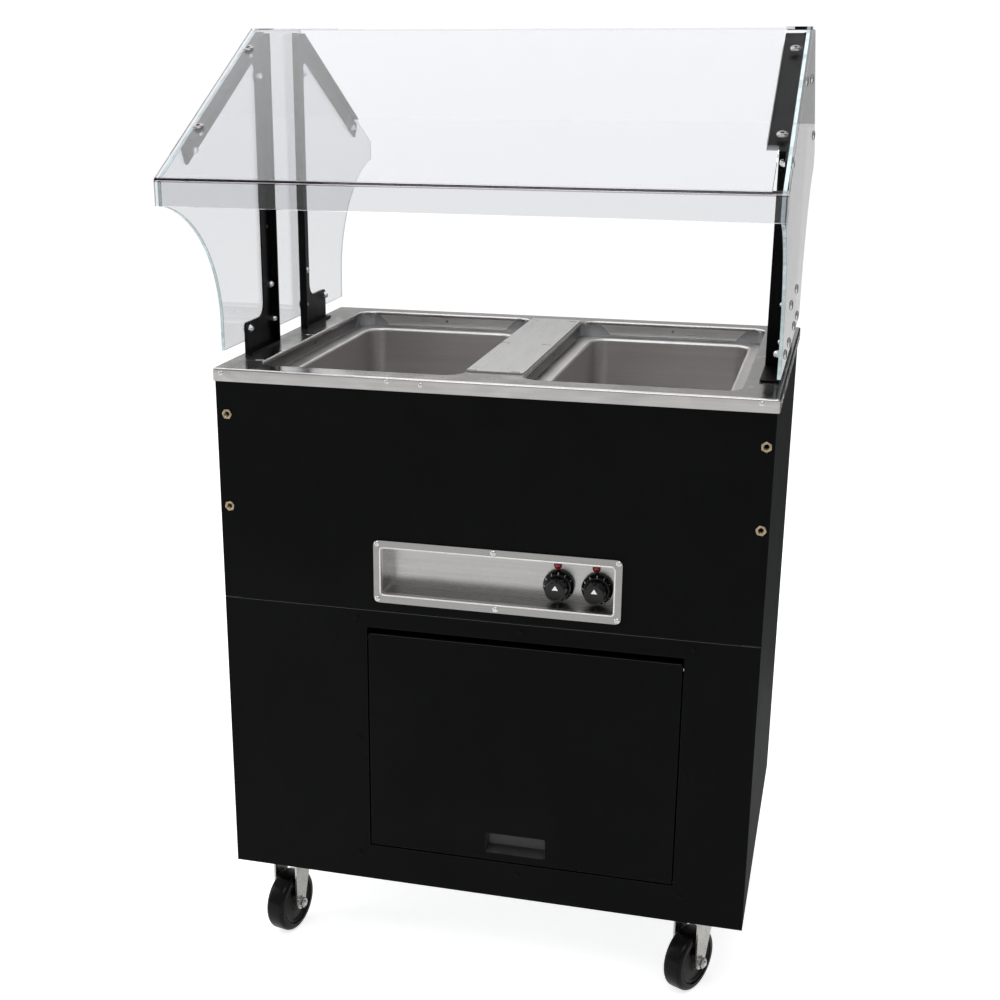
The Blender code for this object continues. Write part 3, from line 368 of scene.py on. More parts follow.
def flat_plate(name, outline, thickness, holes=()):
    """A sheet in local XY, from Z 0 up, with its outline and holes as lists of points."""
    shape = bmesh.new()
    rings = [add_ring(shape, line, 0.0) for line in (outline, *holes)]
    fill_between(shape, rings[0], rings[1:])
    lifted = bmesh.ops.extrude_face_region(shape, geom=shape.faces[:])
    moved = [item for item in lifted["geom"] if isinstance(item, bmesh.types.BMVert)]
    bmesh.ops.translate(shape, verts=moved, vec=(0, 0, thickness))
    bmesh.ops.recalc_face_normals(shape, faces=shape.faces)
    return to_mesh(name, shape)


def repeated(name, mesh, places):
    """One mesh with a copy of a shape at each place."""
    shape = bmesh.new()
    for place in places:
        copy = mesh.copy()
        copy.transform(place)
        shape.from_mesh(copy)
        bpy.data.meshes.remove(copy)
    return to_mesh(name, shape)


def facing(position, direction, turn=0.0):
    """Local Z along a direction, at a position."""
    spin = Matrix.Rotation(math.radians(turn), 4, "Z")
    aim = Vector(direction).to_track_quat("Z", "Y").to_matrix().to_4x4()
    return Matrix.Translation(position) @ aim @ spin


def soften(obj, width, segments=2, angle=40.0):
    """Rounds an object's sharp edges, and keeps its flat faces flat."""
    modifier = obj.modifiers.new("rounded", "BEVEL")
    modifier.width = width
    modifier.segments = segments
    modifier.limit_method = "ANGLE"
    modifier.angle_limit = math.radians(angle)
    return weigh(obj)


def weigh(obj):
    modifier = obj.modifiers.new("flat", "WEIGHTED_NORMAL")
    modifier.keep_sharp = True
    modifier.weight = 80
    return obj


def solidify(obj, thickness):
    """Gives an open shape its thickness, under its faces."""
    modifier = obj.modifiers.new("sheet", "SOLIDIFY")
    modifier.thickness = thickness
    modifier.offset = -1.0
    modifier.use_even_offset = True


def cut_away(obj, tool_mesh):
    """Cuts a shape out of an object's mesh at once."""
    tool = new_object("tool", tool_mesh)
    tool.matrix_world = obj.matrix_world
    modifier = obj.modifiers.new("boolean", "BOOLEAN")
    modifier.operation = "DIFFERENCE"
    modifier.object = tool
    bpy.context.view_layer.update()
    evaluated = obj.evaluated_get(bpy.context.evaluated_depsgraph_get())
    mesh = bpy.data.meshes.new_from_object(evaluated)
    obj.modifiers.remove(modifier)
    obj.data = mesh
    bpy.data.objects.remove(tool)


def carved(mesh, *tools):
    """A mesh with other shapes cut out of it."""
    holder = new_object("head", mesh)
    for tool in tools:
        cut_away(holder, tool)
    mesh = holder.data
    bpy.data.objects.remove(holder)
    return mesh


# Fasteners

HEAD_ROOT = 0.4 * MM


def cross_head(radius, height):
    """A low round head with a cross recess."""
    profile = [(0.0, height)]
    profile += [(radius * math.sin(a), height * math.cos(a) ** 0.7) for a in
                (math.radians(15 * i) for i in range(1, 6))]
    profile += [(radius, 0.0), (0.0, -HEAD_ROOT)]
    arm, width = radius * 0.55, radius * 0.15
    slots = [box_mesh("recess", (-u, -v, height * 0.45), (u, v, height * 2)) for u, v in
             ((arm, width), (width, arm))]
    return carved(turned("head", profile, 24), *slots)


def socket_head(radius, height):
    """A button head with a hexagon socket."""
    profile = [(0.0, height)]
    profile += [(radius * math.sin(a), height * math.cos(a)) for a in
                (math.radians(11.25 * i) for i in range(3, 8))]
    profile += [(radius, 0.0), (0.0, -HEAD_ROOT)]
    shape = bmesh.new()
    bmesh.ops.create_cone(shape, cap_ends=True, segments=6, radius1=radius * 0.42, radius2=radius * 0.42,
                          depth=height * 1.4, matrix=Matrix.Translation((0, 0, height * 1.05)))
    return carved(turned("head", profile, 28), to_mesh("socket", shape))


def dome_nut(radius, height):
    """A six-sided nut with a rounded cap."""
    shape = bmesh.new()
    bmesh.ops.create_cone(shape, cap_ends=True, segments=6, radius1=radius, radius2=radius * 0.97,
                          depth=height * 0.45, matrix=Matrix.Translation((0, 0, height * 0.225)))
    nut = to_mesh("nut", shape)
    cap = turned("cap", [(0.0, height * 0.40), (radius * 0.80, height * 0.40)] + [
        (radius * 0.80 * math.cos(a), height * (0.5 + 0.5 * math.sin(a)))
        for a in (math.radians(15 * i) for i in range(1, 7))], 24)
    return repeated("dome_nut", joined(nut, cap), [Matrix()])


def joined(*meshes):
    shape = bmesh.new()
    for mesh in meshes:
        shape.from_mesh(mesh)
    return to_mesh("joined", shape)


# Counter, wells and divider

counter_low, counter_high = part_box("counter_top")
COUNTER_Z = counter_high.z
COUNTER_SHEET = 1.5 * MM
APRON = 19 * MM
pan_low, pan_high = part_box("well_pan_right")
LEDGE_Z = pan_high.z
LEDGE_OVERLAP = 2.7 * MM
WELL_HALF = Vector(((pan_high.x - pan_low.x) / 2 - LEDGE_OVERLAP,
                    (pan_high.y - pan_low.y) / 2 - LEDGE_OVERLAP))
WELL_Y = (pan_low.y + pan_high.y) / 2
WELL_X = (pan_low.x + pan_high.x) / 2
WELL_CORNER = 28 * MM
RIM = 2.6 * MM
SLOT_ROWS = (-0.227, -0.009, 0.210)
COUNTER_SLOT_X = 0.359
DIVIDER_SLOT_COLUMNS = (-0.034, 0.030)
STRIP_SHEET = COUNTER_SHEET * 0.8
RIM_DEPTH = 5.5 * MM


def slot_outline(x, y, half_long=6 * MM, half_wide=1.1 * MM):
    ends = [(x + half_long - half_wide + u, y + v) for u, v in arc(half_wide, -90, 90, 4)]
    return ends + [(x - half_long + half_wide + u, y + v) for u, v in arc(half_wide, 90, 270, 4)]


def make_counter():
    """The drawn top: rounded outer edge, apron with a return, rolled well rims and slots."""
    shape = bmesh.new()
    middle = ((counter_low.x + counter_high.x) / 2, (counter_low.y + counter_high.y) / 2)
    half = ((counter_high.x - counter_low.x) / 2, (counter_high.y - counter_low.y) / 2)
    edge = 3.2 * MM
    bends = [(edge - u, edge - v) for u, v in arc(edge, 90, 0, 6)]
    rings = []
    for inset, drop in bends + [(0.0, APRON), (COUNTER_SHEET, APRON), (COUNTER_SHEET, APRON - 12 * MM)]:
        corner = 4.0 * MM - min(inset, edge) * 0.6
        outline = rounded_rectangle(middle, (half[0] - inset, half[1] - inset), corner, 5)
        rings.append(add_ring(shape, outline, COUNTER_Z - drop))
    for inner, outer in zip(rings, rings[1:]):
        bridge(shape, inner, outer)
        for face in shape.faces[-len(inner):]:
            face.normal_flip()
    holes = []
    for side in (-1, 1):
        well = (side * WELL_X, WELL_Y)
        rolled = [(u, RIM - v) for u, v in arc(RIM, 90, 0, 6)]
        rims = []
        for inward, drop in rolled + [(RIM, RIM_DEPTH), (RIM - COUNTER_SHEET, RIM_DEPTH)]:
            size = (WELL_HALF.x + RIM - inward, WELL_HALF.y + RIM - inward)
            rims.append(add_ring(shape, rounded_rectangle(well, size, WELL_CORNER + RIM - inward, 12),
                                 COUNTER_Z - drop))
        for outer, inner in zip(rims, rims[1:]):
            bridge(shape, outer, inner)
        holes.append(rims[0])
        for y in SLOT_ROWS:
            outline = slot_outline(side * COUNTER_SLOT_X, y)
            top = add_ring(shape, outline, COUNTER_Z)
            bridge(shape, top, add_ring(shape, outline, COUNTER_Z - COUNTER_SHEET))
            holes.append(top)
    fill_between(shape, rings[0], holes)
    top = add_piece("counter_sheet", to_mesh("counter_sheet", shape, 50), TOP_STEEL, "cabinet",
                    replaces=("counter_top",))
    weigh(top)
    make_well_flanges()


def make_well_flanges():
    """Turned-down strips on the straight sides of each opening, with tapered ends and a hole."""
    drop, taper, start = 22 * MM, 18 * MM, 4.5 * MM
    hole = [(u, v - 0.55 * drop) for u, v in arc(2.6 * MM, 0, 330, 11)]
    for name, side in (("left", -1), ("right", 1)):
        # End strips take the lighter steel, painted light; side strips take the darker steel, painted shade
        for kind, along, across, steel in (("end", WELL_HALF.x, WELL_HALF.y, LIT_STRIP_STEEL),
                                           ("side", WELL_HALF.y, WELL_HALF.x, PAINTED_SHADE_STEEL)):
            straight = along - WELL_CORNER - 2 * MM
            outline = [(-straight, -start), (taper - straight, -drop), (straight - taper, -drop),
                       (straight, -start)]
            strip = flat_plate("strip", outline, STRIP_SHEET, (hole,))
            places = []
            for way in (-1, 1):
                out = way * (across + 0.1 * MM)
                if kind == "end":
                    spot = (side * WELL_X, WELL_Y + out + (STRIP_SHEET if way > 0 else 0), COUNTER_Z)
                    places.append(Matrix.Translation(spot) @ TO_FRONT)
                else:
                    spot = (side * WELL_X + out - (STRIP_SHEET if way < 0 else 0), WELL_Y, COUNTER_Z)
                    places.append(Matrix.Translation(spot) @ TO_SIDE)
            flanges = add_piece(f"well_{kind}_flanges_{name}", repeated("flanges", strip, places), steel,
                                "cabinet")
            soften(flanges, 0.25 * MM)


def make_well(name, side):
    """The drawn pan: ledge, rolled inner rim, drafted brushed walls and a floor with a soft bend."""
    well = (side * WELL_X, WELL_Y)
    ledge_width, lip, draft, corner, bend = 20 * MM, 4 * MM, 3 * MM, 30 * MM, 14 * MM
    floor = pan_low.z + 1.2 * MM
    wall = (WELL_HALF.x - ledge_width, WELL_HALF.y - ledge_width)
    shape = bmesh.new()
    size = (WELL_HALF.x + LEDGE_OVERLAP, WELL_HALF.y + LEDGE_OVERLAP)
    rings = [add_ring(shape, rounded_rectangle(well, size, corner), LEDGE_Z - 0.8 * MM)]
    bead = [(1.4 * lip, 0.8 * MM), (0.8 * lip, 0.15 * MM)] + [(-u, lip - v) for u, v in arc(lip, 90, 0, 6)]
    for outward, drop in bead:
        size = (wall[0] + outward, wall[1] + outward)
        rings.append(add_ring(shape, rounded_rectangle(well, size, corner + outward), LEDGE_Z - drop))
    for u, v in arc(bend, 0, 90, 8):
        inward = lip + draft + bend - u
        size = (wall[0] - inward, wall[1] - inward)
        rings.append(add_ring(shape, rounded_rectangle(well, size, max(corner - inward, 8 * MM)),
                              floor + bend - v))
    for outer, inner in zip(rings, rings[1:]):
        bridge(shape, outer, inner)
    shape.faces.new(rings[-1])
    pan = add_piece(f"well_liner_{name}", to_mesh("well_liner", shape, 60), WELL_STEEL, "cabinet",
                    replaces=(f"well_pan_{name}",))
    solidify(pan, 1.0 * MM)
    weigh(pan)


# Cabinet fasteners

# Turn in degrees and (x, z) of each head on the apron's front, then (x, z) round the door
APRON_SCREWS = ((20, -0.391, 0.943), (90, -0.139, 0.944), (160, 0.380, 0.943), (30, -0.090, 0.9415))
DOOR_FRAME_SCREWS = ((-0.192, 0.584), (0.307, 0.584), (-0.192, 0.387), (0.307, 0.387), (-0.192, 0.188),
                     (0.307, 0.188), (0.059, 0.585), (0.059, 0.187))
APRON_SIDE_SCREWS_Y = (-0.268, -0.240, 0.235)
BLIND_NUTS = ((-0.385, 0.882), (-0.387, 0.742), (0.3895, 0.884), (0.3895, 0.767))
BEZEL_OPENING_MIDDLE, BEZEL_OPENING_HALF = (0.020, 0.6605), (0.1730, 0.0365)


def place_fasteners():
    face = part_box("upper_front_panel")[0].y
    small, middle, large = (cross_head(radius * MM, height * MM)
                            for radius, height in ((3.4, 1.6), (4.2, 2.0), (4.6, 1.8)))
    places = [facing((x, counter_low.y, z), (0, -1, 0), turn) for turn, x, z in APRON_SCREWS]
    for x, way in ((counter_low.x, -1), (counter_high.x, 1)):
        places += [facing((x, y, 0.942), (way, 0, 0), 40) for y in APRON_SIDE_SCREWS_Y]
    places = [sunk(place, 0.35 * MM) for place in places]
    add_piece("apron_screws", repeated("apron_screws", small, places), BRIGHT, "cabinet")
    places = [facing((x, face, z), (0, -1, 0), 25 * i) for i, (x, z) in enumerate(DOOR_FRAME_SCREWS)]
    add_piece("door_frame_screws", repeated("door_frame_screws", middle, places), PAINT, "cabinet")
    low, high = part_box("bezel")
    inset = 5.2 * MM
    corners = [(x, z) for x in (low.x + inset, high.x - inset) for z in (low.z + inset, high.z - inset)]
    corners += [(0.017, high.z - inset), (0.021, low.z + inset)]
    places = [facing((x, low.y, z), (0, -1, 0), 35 * i) for i, (x, z) in enumerate(corners)]
    places = [sunk(place, 0.3 * MM) for place in places]
    add_piece("bezel_screws", repeated("bezel_screws", middle, places), BRIGHT, "cabinet")
    place_rear_screws(large)


def make_slot_shadows():
    """Painted shade and highlight at each lifting slot, in the counter's margins and in the divider plate: a
    dark sheet for the shadow in the slot and a lip in the bright fastener finish for the light along its
    edge.
    """
    shadow = flat_plate("slot_shadow", slot_outline(0, 0, 6.0 * MM, 1.9 * MM), 0.3 * MM)
    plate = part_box("divider_plate")[1].z
    columns = [(-COUNTER_SLOT_X, COUNTER_Z), *((x, plate) for x in DIVIDER_SLOT_COLUMNS),
               (COUNTER_SLOT_X, COUNTER_Z)]
    places = [Matrix.Translation((x, y, top - 0.15 * MM)) for x, top in columns for y in SLOT_ROWS]
    add_piece("slot_shadows", repeated("slot_shadows", shadow, places), SHADOW, "cabinet")
    # The lips take the bright fastener finish, lighter than the steel round them: a painted highlight along
    # each slot
    lip = flat_plate("slot_lip", slot_outline(0, 0, 7.2 * MM, 3.1 * MM), 0.5 * MM,
                     (slot_outline(0, 0, 6.1 * MM, 2.0 * MM),))
    lips = add_piece("slot_lips", repeated("slot_lips", lip, places), BRIGHT, "cabinet")
    soften(lips, 0.15 * MM)


def make_edge_lines():
    """Painted highlights: thin strips of lighter paint along the seam of the front panels and along the
    door's top fold, standing in for the light on those edges.
    """
    low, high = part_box("lower_front_frame")
    seam = box_mesh("seam", (low.x + MM, low.y - 0.15 * MM, high.z - 0.9 * MM),
                    (high.x - MM, low.y + 0.5 * MM, high.z - 0.05 * MM))
    add_piece("front_seam", seam, EDGE_HIGHLIGHT_PAINT, "cabinet")
    low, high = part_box("door")
    fold = box_mesh("fold", (low.x + 2 * MM, low.y + 1.0 * MM, high.z - 0.35 * MM),
                    (high.x - 2 * MM, low.y + 3.0 * MM, high.z + 0.15 * MM))
    add_piece("door_top_fold", fold, EDGE_HIGHLIGHT_PAINT, "door")


def make_bezel_lip():
    """The opening's turned-in edge: a rolled line in the lighter strip steel, a painted highlight, with a
    step down into the recess.
    """
    face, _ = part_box("bezel")
    middle, half, radius = BEZEL_OPENING_MIDDLE, BEZEL_OPENING_HALF, 5 * MM
    shape = bmesh.new()
    section = [(1.6 * MM, -0.3 * MM), (1.2 * MM, 0.5 * MM), (0.4 * MM, 0.9 * MM), (-0.5 * MM, 0.7 * MM),
               (-1.1 * MM, 0.0), (-1.2 * MM, -9 * MM), (-0.4 * MM, -9 * MM), (-0.3 * MM, -0.3 * MM)]
    rings = [add_ring(shape, rounded_rectangle(middle, (half[0] + out, half[1] + out), radius + out, 6), rise)
             for out, rise in section]
    for outer, inner in zip(rings, rings[1:] + rings[:1]):
        bridge(shape, outer, inner)
    bmesh.ops.recalc_face_normals(shape, faces=shape.faces)
    place = Matrix.Translation((0, face.y + 0.3 * MM, 0)) @ TO_FRONT
    add_piece("bezel_lip", to_mesh("bezel_lip", shape, 60), LIT_STRIP_STEEL, "cabinet", place)


def sunk(place, depth):
    """A head's place, moved a little into its sheet."""
    return place @ Matrix.Translation((0, 0, -depth))


def place_rear_screws(head):
    low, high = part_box("rear_panel")
    spots = [(x, z) for x in (low.x + 0.013, 0.0, high.x - 0.013) for z in (0.165, 0.420, 0.675, 0.925)]
    places = [facing((x, high.y, z), (0, 1, 0), 31 * i) for i, (x, z) in enumerate(spots)
              if abs(x) > 0.01 or z > 0.9]
    add_piece("rear_panel_screws", repeated("rear_screws", head, places), PAINT, "cabinet")


def make_blind_nuts():
    """Six-sided brass blind nuts: a thin flange, a threaded barrel and its lead-in."""
    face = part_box("upper_front_panel")[0].y
    outer, bore, flange, barrel = 7.8 * MM, 3.6 * MM, 1.3 * MM, 5.0 * MM
    thread = []
    for i in range(8):
        depth = -0.6 * MM - i * 1.1 * MM
        thread += [(bore, depth), (bore - 0.45 * MM, depth - 0.55 * MM)]
    profile = [(bore + 0.7 * MM, flange), (bore, flange - 0.8 * MM)] + thread
    profile += [(bore, -10 * MM), (barrel, -10 * MM), (barrel, 0.1 * MM), (outer * 0.86, 0.1 * MM),
                (outer * 0.92, flange * 0.5), (outer * 0.86, flange)]
    nut = turned("blind_nut", profile, 24, closed=True)
    hexagon = flat_plate("flange", [(outer * math.cos(a), outer * math.sin(a)) for a in
                                    (math.radians(60 * i) for i in range(6))], flange * 0.8,
                         ([(4.6 * MM * math.cos(a), 4.6 * MM * math.sin(a)) for a in
                           (math.radians(20 * i) for i in range(18))],))
    mesh = joined(nut, hexagon)
    for i, (x, z) in enumerate(BLIND_NUTS):
        place = facing((x, face, z), (0, -1, 0), 17 * i)
        nut = add_piece(f"blind_nut_{i + 1}", mesh.copy(), BRASS, "cabinet", place)
        soften(nut, 0.2 * MM)


# Knobs and lamps

def make_knobs():
    for side in ("left", "right"):
        low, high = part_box(f"knob_{side}")
        centre = Vector(((low.x + high.x) / 2, high.y, (low.z + high.z) / 2))
        place = Matrix.Translation(centre) @ TO_FRONT
        make_knob(side, place, (high.x - low.x) / 2, high.y - low.y)
        make_lamp(side)


def make_knob(side, place, radius, depth):
    """Skirt with a dished dial face, a fluted grip with a pointer ridge, and printed marks."""
    grip, nose = 16.2 * MM, 14.6 * MM
    dial = [(radius - 0.4 * MM, 7.2 * MM), (radius - 3.6 * MM, 11.6 * MM)]
    profile = [(0.0, depth - 1.1 * MM), (9.0 * MM, depth - 1.0 * MM), (11.2 * MM, depth - 0.2 * MM),
               (nose - 1.2 * MM, depth)]
    profile += [(nose - 1.2 * MM + u, depth - 1.2 * MM + v) for u, v in arc(1.2 * MM, 70, 0, 4)]
    profile += [(grip, 13.6 * MM), (grip + 0.8 * MM, 12.5 * MM), (radius - 3.8 * MM, 11.8 * MM)] + dial[::-1]
    profile += [(radius, 6.2 * MM), (radius, 1.0 * MM), (radius - 0.8 * MM, 0.1 * MM), (0.0, 0.1 * MM)]
    knob = add_piece(f"knob_cap_{side}", turned("knob", profile, 72), PLASTIC, f"knob_{side}",
                     place, (f"knob_{side}",))
    flutes = bmesh.new()
    for i in range(12):
        angle = math.radians(30 * i + 15)
        spot = Matrix.Translation((18.9 * MM * math.cos(angle), 18.9 * MM * math.sin(angle), 26 * MM))
        bmesh.ops.create_cone(flutes, cap_ends=True, segments=16, radius1=3.6 * MM, radius2=4.4 * MM,
                              depth=24.6 * MM, matrix=spot)
    cut_away(knob, to_mesh("flutes", flutes))
    knob.data.set_sharp_from_angle(angle=math.radians(35))
    weigh(knob)
    marks = []
    slope = math.atan2(dial[1][1] - dial[0][1], dial[0][0] - dial[1][0])
    for i in range(11):
        angle = math.radians(30 + 30 * i)
        along = 1.6 * MM if i % 2 else 2.4 * MM
        tick = box_mesh("tick", (-along / 2, -0.28 * MM, 0), (along / 2, 0.28 * MM, 0.12 * MM))
        spot = Matrix.Rotation(angle, 4, "Z") @ Matrix.Translation((radius - 1.9 * MM, 0, 9.3 * MM))
        marks.append(repeated("tick", tick, [spot @ Matrix.Rotation(slope, 4, "Y")]))
    wedge = [(-4.6 * MM, 2.4 * MM), (4.6 * MM, 2.4 * MM), (0.0, 9.4 * MM)]
    marks.append(flat_plate("pointer", wedge, 0.45 * MM))
    marks[-1].transform(Matrix.Translation((0, 0, depth - 1.1 * MM)))
    add_piece(f"knob_marks_{side}", joined(*marks), MARKS, f"knob_{side}", place)
    for i, digit in enumerate("123456789"):
        make_numeral(digit, math.radians(60 + 30 * i), place, radius, slope, side)


def make_numeral(digit, angle, place, radius, slope, side):
    """A raised dial number; they rise anticlockwise on the dial, so the knob turns clockwise to heat."""
    name = f"knob_numeral_{side}_{digit}"
    text = bpy.data.curves.new(name, "FONT")
    text.body = digit
    text.size = 5.4 * MM
    text.align_x = "CENTER"
    text.align_y = "CENTER"
    text.extrude = 0.05 * MM
    holder = new_object(name, text)
    bpy.context.view_layer.update()
    mesh = bpy.data.meshes.new_from_object(holder.evaluated_get(bpy.context.evaluated_depsgraph_get()))
    bpy.data.objects.remove(holder)
    lie = Matrix.Rotation(angle, 4, "Z") @ Matrix.Translation((radius - 3.2 * MM, 0, 11.1 * MM))
    lie = lie @ Matrix.Rotation(slope, 4, "Y") @ Matrix.Rotation(-math.pi / 2, 4, "Z")
    add_piece(name, mesh, MARKS, f"knob_{side}", place @ lie)


def make_lamp(side):
    low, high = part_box(f"indicator_lamp_{side}")
    radius = (high.x - low.x) / 2
    centre = Vector(((low.x + high.x) / 2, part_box("control_tray")[1].y - 1.2 * MM, (low.z + high.z) / 2))
    place = Matrix.Translation(centre) @ TO_FRONT
    dome = [(0.0, 4.4 * MM), (1.6 * MM, 4.3 * MM), (3.0 * MM, 3.8 * MM), (4.2 * MM, 2.9 * MM),
            (radius - 1.1 * MM, 1.9 * MM), (radius - 0.9 * MM, 0.5 * MM), (0.0, 0.3 * MM)]
    add_piece(f"lamp_lens_{side}", turned("lens", dome, 40), LENS, "cabinet", place,
              (f"indicator_lamp_{side}",))
    ring = [(radius - 1.2 * MM, 1.4 * MM), (radius - 0.7 * MM, 1.9 * MM), (radius - 0.1 * MM, 1.4 * MM),
            (radius, 0.2 * MM), (radius - 1.2 * MM, 0.2 * MM)]
    add_piece(f"lamp_ring_{side}", turned("ring", ring, 40, closed=True), LENS, "cabinet", place)


# Casters

PLATE_BOLTS = ((-0.038, -0.028), (0.038, -0.028), (-0.038, 0.028), (0.038, 0.028))


def make_casters():
    for corner in CORNERS:
        roll = JOINTS[f"caster_{corner}_roll"]
        make_wheel(corner, facing(roll["pos_m"], roll["axis"]))
        make_caster_fasteners(corner, Vector(roll["pos_m"]), Vector(roll["axis"]))


def make_wheel(corner, place):
    """A hard tyre with a rounded tread on a moulded hub with a recessed web and a boss."""
    radius, half = 50 * MM, 16 * MM
    shoulder = 7.5 * MM
    tread = [(radius, 0.0)]
    tread += [(radius - shoulder + u, half - shoulder + v) for u, v in arc(shoulder, 0, 90, 9)]
    side = [(39.0 * MM, half + 0.2 * MM), (38.2 * MM, half - 0.3 * MM), (37.4 * MM, half - 1.6 * MM)]
    outer = tread + side
    profile = [(r, -z) for r, z in reversed(outer)] + outer[1:]
    add_piece(f"tyre_{corner}", turned("tyre", profile, 96, closed=True), RUBBER, f"wheel_{corner}",
              place, (f"wheel_{corner}",))
    web = [(37.3 * MM, half - 2.0 * MM), (35.0 * MM, half - 1.0 * MM), (33.8 * MM, half - 1.2 * MM),
           (31.0 * MM, 12.4 * MM), (20.0 * MM, 12.8 * MM), (17.2 * MM, 14.0 * MM), (15.6 * MM, 17.4 * MM),
           (14.8 * MM, 18.2 * MM), (5.6 * MM, 18.2 * MM)]
    hub = [(r, -z) for r, z in web] + [(r, z) for r, z in reversed(web)]
    add_piece(f"hub_{corner}", turned("hub", hub, 72, closed=True), HUB, f"wheel_{corner}",
              place)


def make_caster_fasteners(corner, centre, axis):
    """Thread ends and washers on the axle, and four bolts through the top plate."""
    ends = []
    for way in (-1, 1):
        base = centre + axis * way * 22.35 * MM
        section = [(5.1 * MM, 0.9 * MM), (10.6 * MM, 0.9 * MM), (10.6 * MM, 0.0), (5.1 * MM, 0.0)]
        washer = turned("washer", section, 28, closed=True)
        ends.append(repeated("washer", washer, [facing(base, axis * way)]))
        section = [(0.0, 9.2 * MM), (3.4 * MM, 9.2 * MM), (4.4 * MM, 8.4 * MM), (4.4 * MM, 6.0 * MM),
                   (0.0, 6.0 * MM)]
        tip = turned("tip", section, 20)
        ends.append(repeated("tip", tip, [facing(base - axis * way * 0.3 * MM, axis * way)]))
    add_piece(f"axle_washers_{corner}", joined(*ends), BRIGHT, f"swivel_{corner}")
    low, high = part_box(f"caster_plate_{corner}")
    middle = (low + high) / 2
    nut = dome_nut(6.0 * MM, 6.5 * MM)
    places = [facing((middle.x + u, middle.y + v, high.z - 4.2 * MM), (0, 0, -1), 13 * (i + 1))
              for i, (u, v) in enumerate(PLATE_BOLTS)]
    add_piece(f"plate_bolts_{corner}", repeated("plate_bolts", nut, places), BRIGHT, "cabinet")


# Food guard

guard_low, guard_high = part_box("front_guard_panel")
ACRYLIC_SHEET = 6 * MM
PEAK = Vector((-0.101, 0.4682))
FOLD = Vector((-0.456, 0.2787))
SLOPE = (PEAK - FOLD).normalized()
SLOPE_OUT = Vector((-SLOPE.y, SLOPE.x))
BRACKET_MIDDLE = (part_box("guard_bracket_front_left")[0].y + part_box("guard_bracket_rear_left")[1].y) / 2
FRONT_LIP = 35 * MM
RIGHT_FLANGE_END_Y = -0.3648
END_CORNER = Vector((-0.270, 0.060))
# (y, height above the counter) of the front half's bolts, and the y of those on the slope
GUARD_BOLTS = ((-0.110, 0.398), (-0.352, 0.306), (-0.096, 0.093), (-0.087, 0.038), (-0.184, 0.0385))
SLOPE_BOLTS_Y = (-0.154, -0.342)
# Material slots of the bent front sheet
CLEAR, BENT, SLOPED, CLAMPED = range(4)


def on_slope(y, depth=0.0):
    """Height above the counter of the sloped panel's outer face, or of a line under it."""
    start = PEAK - SLOPE_OUT * depth
    return start.y + (y - start.x) * SLOPE.y / SLOPE.x


def make_front_panel():
    """The bent sheet with a smooth bend, tinted darker as painted shade, and a strip clamped on the right
    bracket's flange.
    """
    radius, steps = 8 * MM, 10
    flange_end = FOLD + SLOPE * ((RIGHT_FLANGE_END_Y - FOLD.x) / SLOPE.x)
    turn = math.pi / 2 - math.atan2(SLOPE.y, SLOPE.x)
    set_back = radius * math.tan(turn / 2)
    centre = Vector((FOLD.x + radius, FOLD.y - set_back))
    angles = [math.pi - turn * i / steps for i in range(steps + 1)]
    outer, inner = ([(FOLD.x + depth, FOLD.y - FRONT_LIP)]
                    + [tuple(centre + (radius - depth) * Vector((math.cos(a), math.sin(a)))) for a in angles]
                    + [tuple(point - SLOPE_OUT * depth) for point in (flange_end, PEAK)]
                    for depth in (0.0, ACRYLIC_SHEET))
    shape = bmesh.new()
    flange, web = (corner.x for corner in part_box("guard_bracket_front_right"))
    spots = (guard_low.x, flange - 0.2 * MM, web - 11.5 * MM, guard_high.x)
    columns = [[[shape.verts.new((x, y, COUNTER_Z + z)) for y, z in line] for line in (outer, inner)]
               for x in spots]
    last = len(outer) - 1
    for strip, ((left_out, left_in), (right_out, right_in)) in enumerate(zip(columns, columns[1:])):
        for i in range(last):
            finish = CLEAR if i < 2 else BENT if i <= steps else SLOPED
            if i > steps and (strip == 2 or strip == 1 and i == last - 1):
                finish = CLAMPED
            for quad in ((left_out[i], left_out[i + 1], right_out[i + 1], right_out[i]),
                         (left_in[i + 1], left_in[i], right_in[i], right_in[i + 1])):
                shape.faces.new(quad).material_index = finish
        shape.faces.new((left_out[0], right_out[0], right_in[0], left_in[0]))
        end = shape.faces.new((left_in[last], right_in[last], right_out[last], left_out[last]))
        end.material_index = BENT
    for outer_line, inner_line in (columns[0], columns[-1]):
        for i in range(last):
            shape.faces.new((inner_line[i], inner_line[i + 1], outer_line[i + 1], outer_line[i]))
    bmesh.ops.recalc_face_normals(shape, faces=shape.faces)
    mesh = to_mesh("clear_front", shape, 40)
    chosen = [face.material_index for face in mesh.polygons]
    panel = add_piece("clear_front", mesh, ACRYLIC, "cabinet",
                      replaces=("front_guard_panel",))
    for material in (SHADED_BEND_ACRYLIC, SHADED_SLOPE_ACRYLIC, CLAMPED_ACRYLIC):
        mesh.materials.append(material)
    mesh.polygons.foreach_set("material_index", chosen)
    soften(panel, 0.5 * MM, 2, 50)


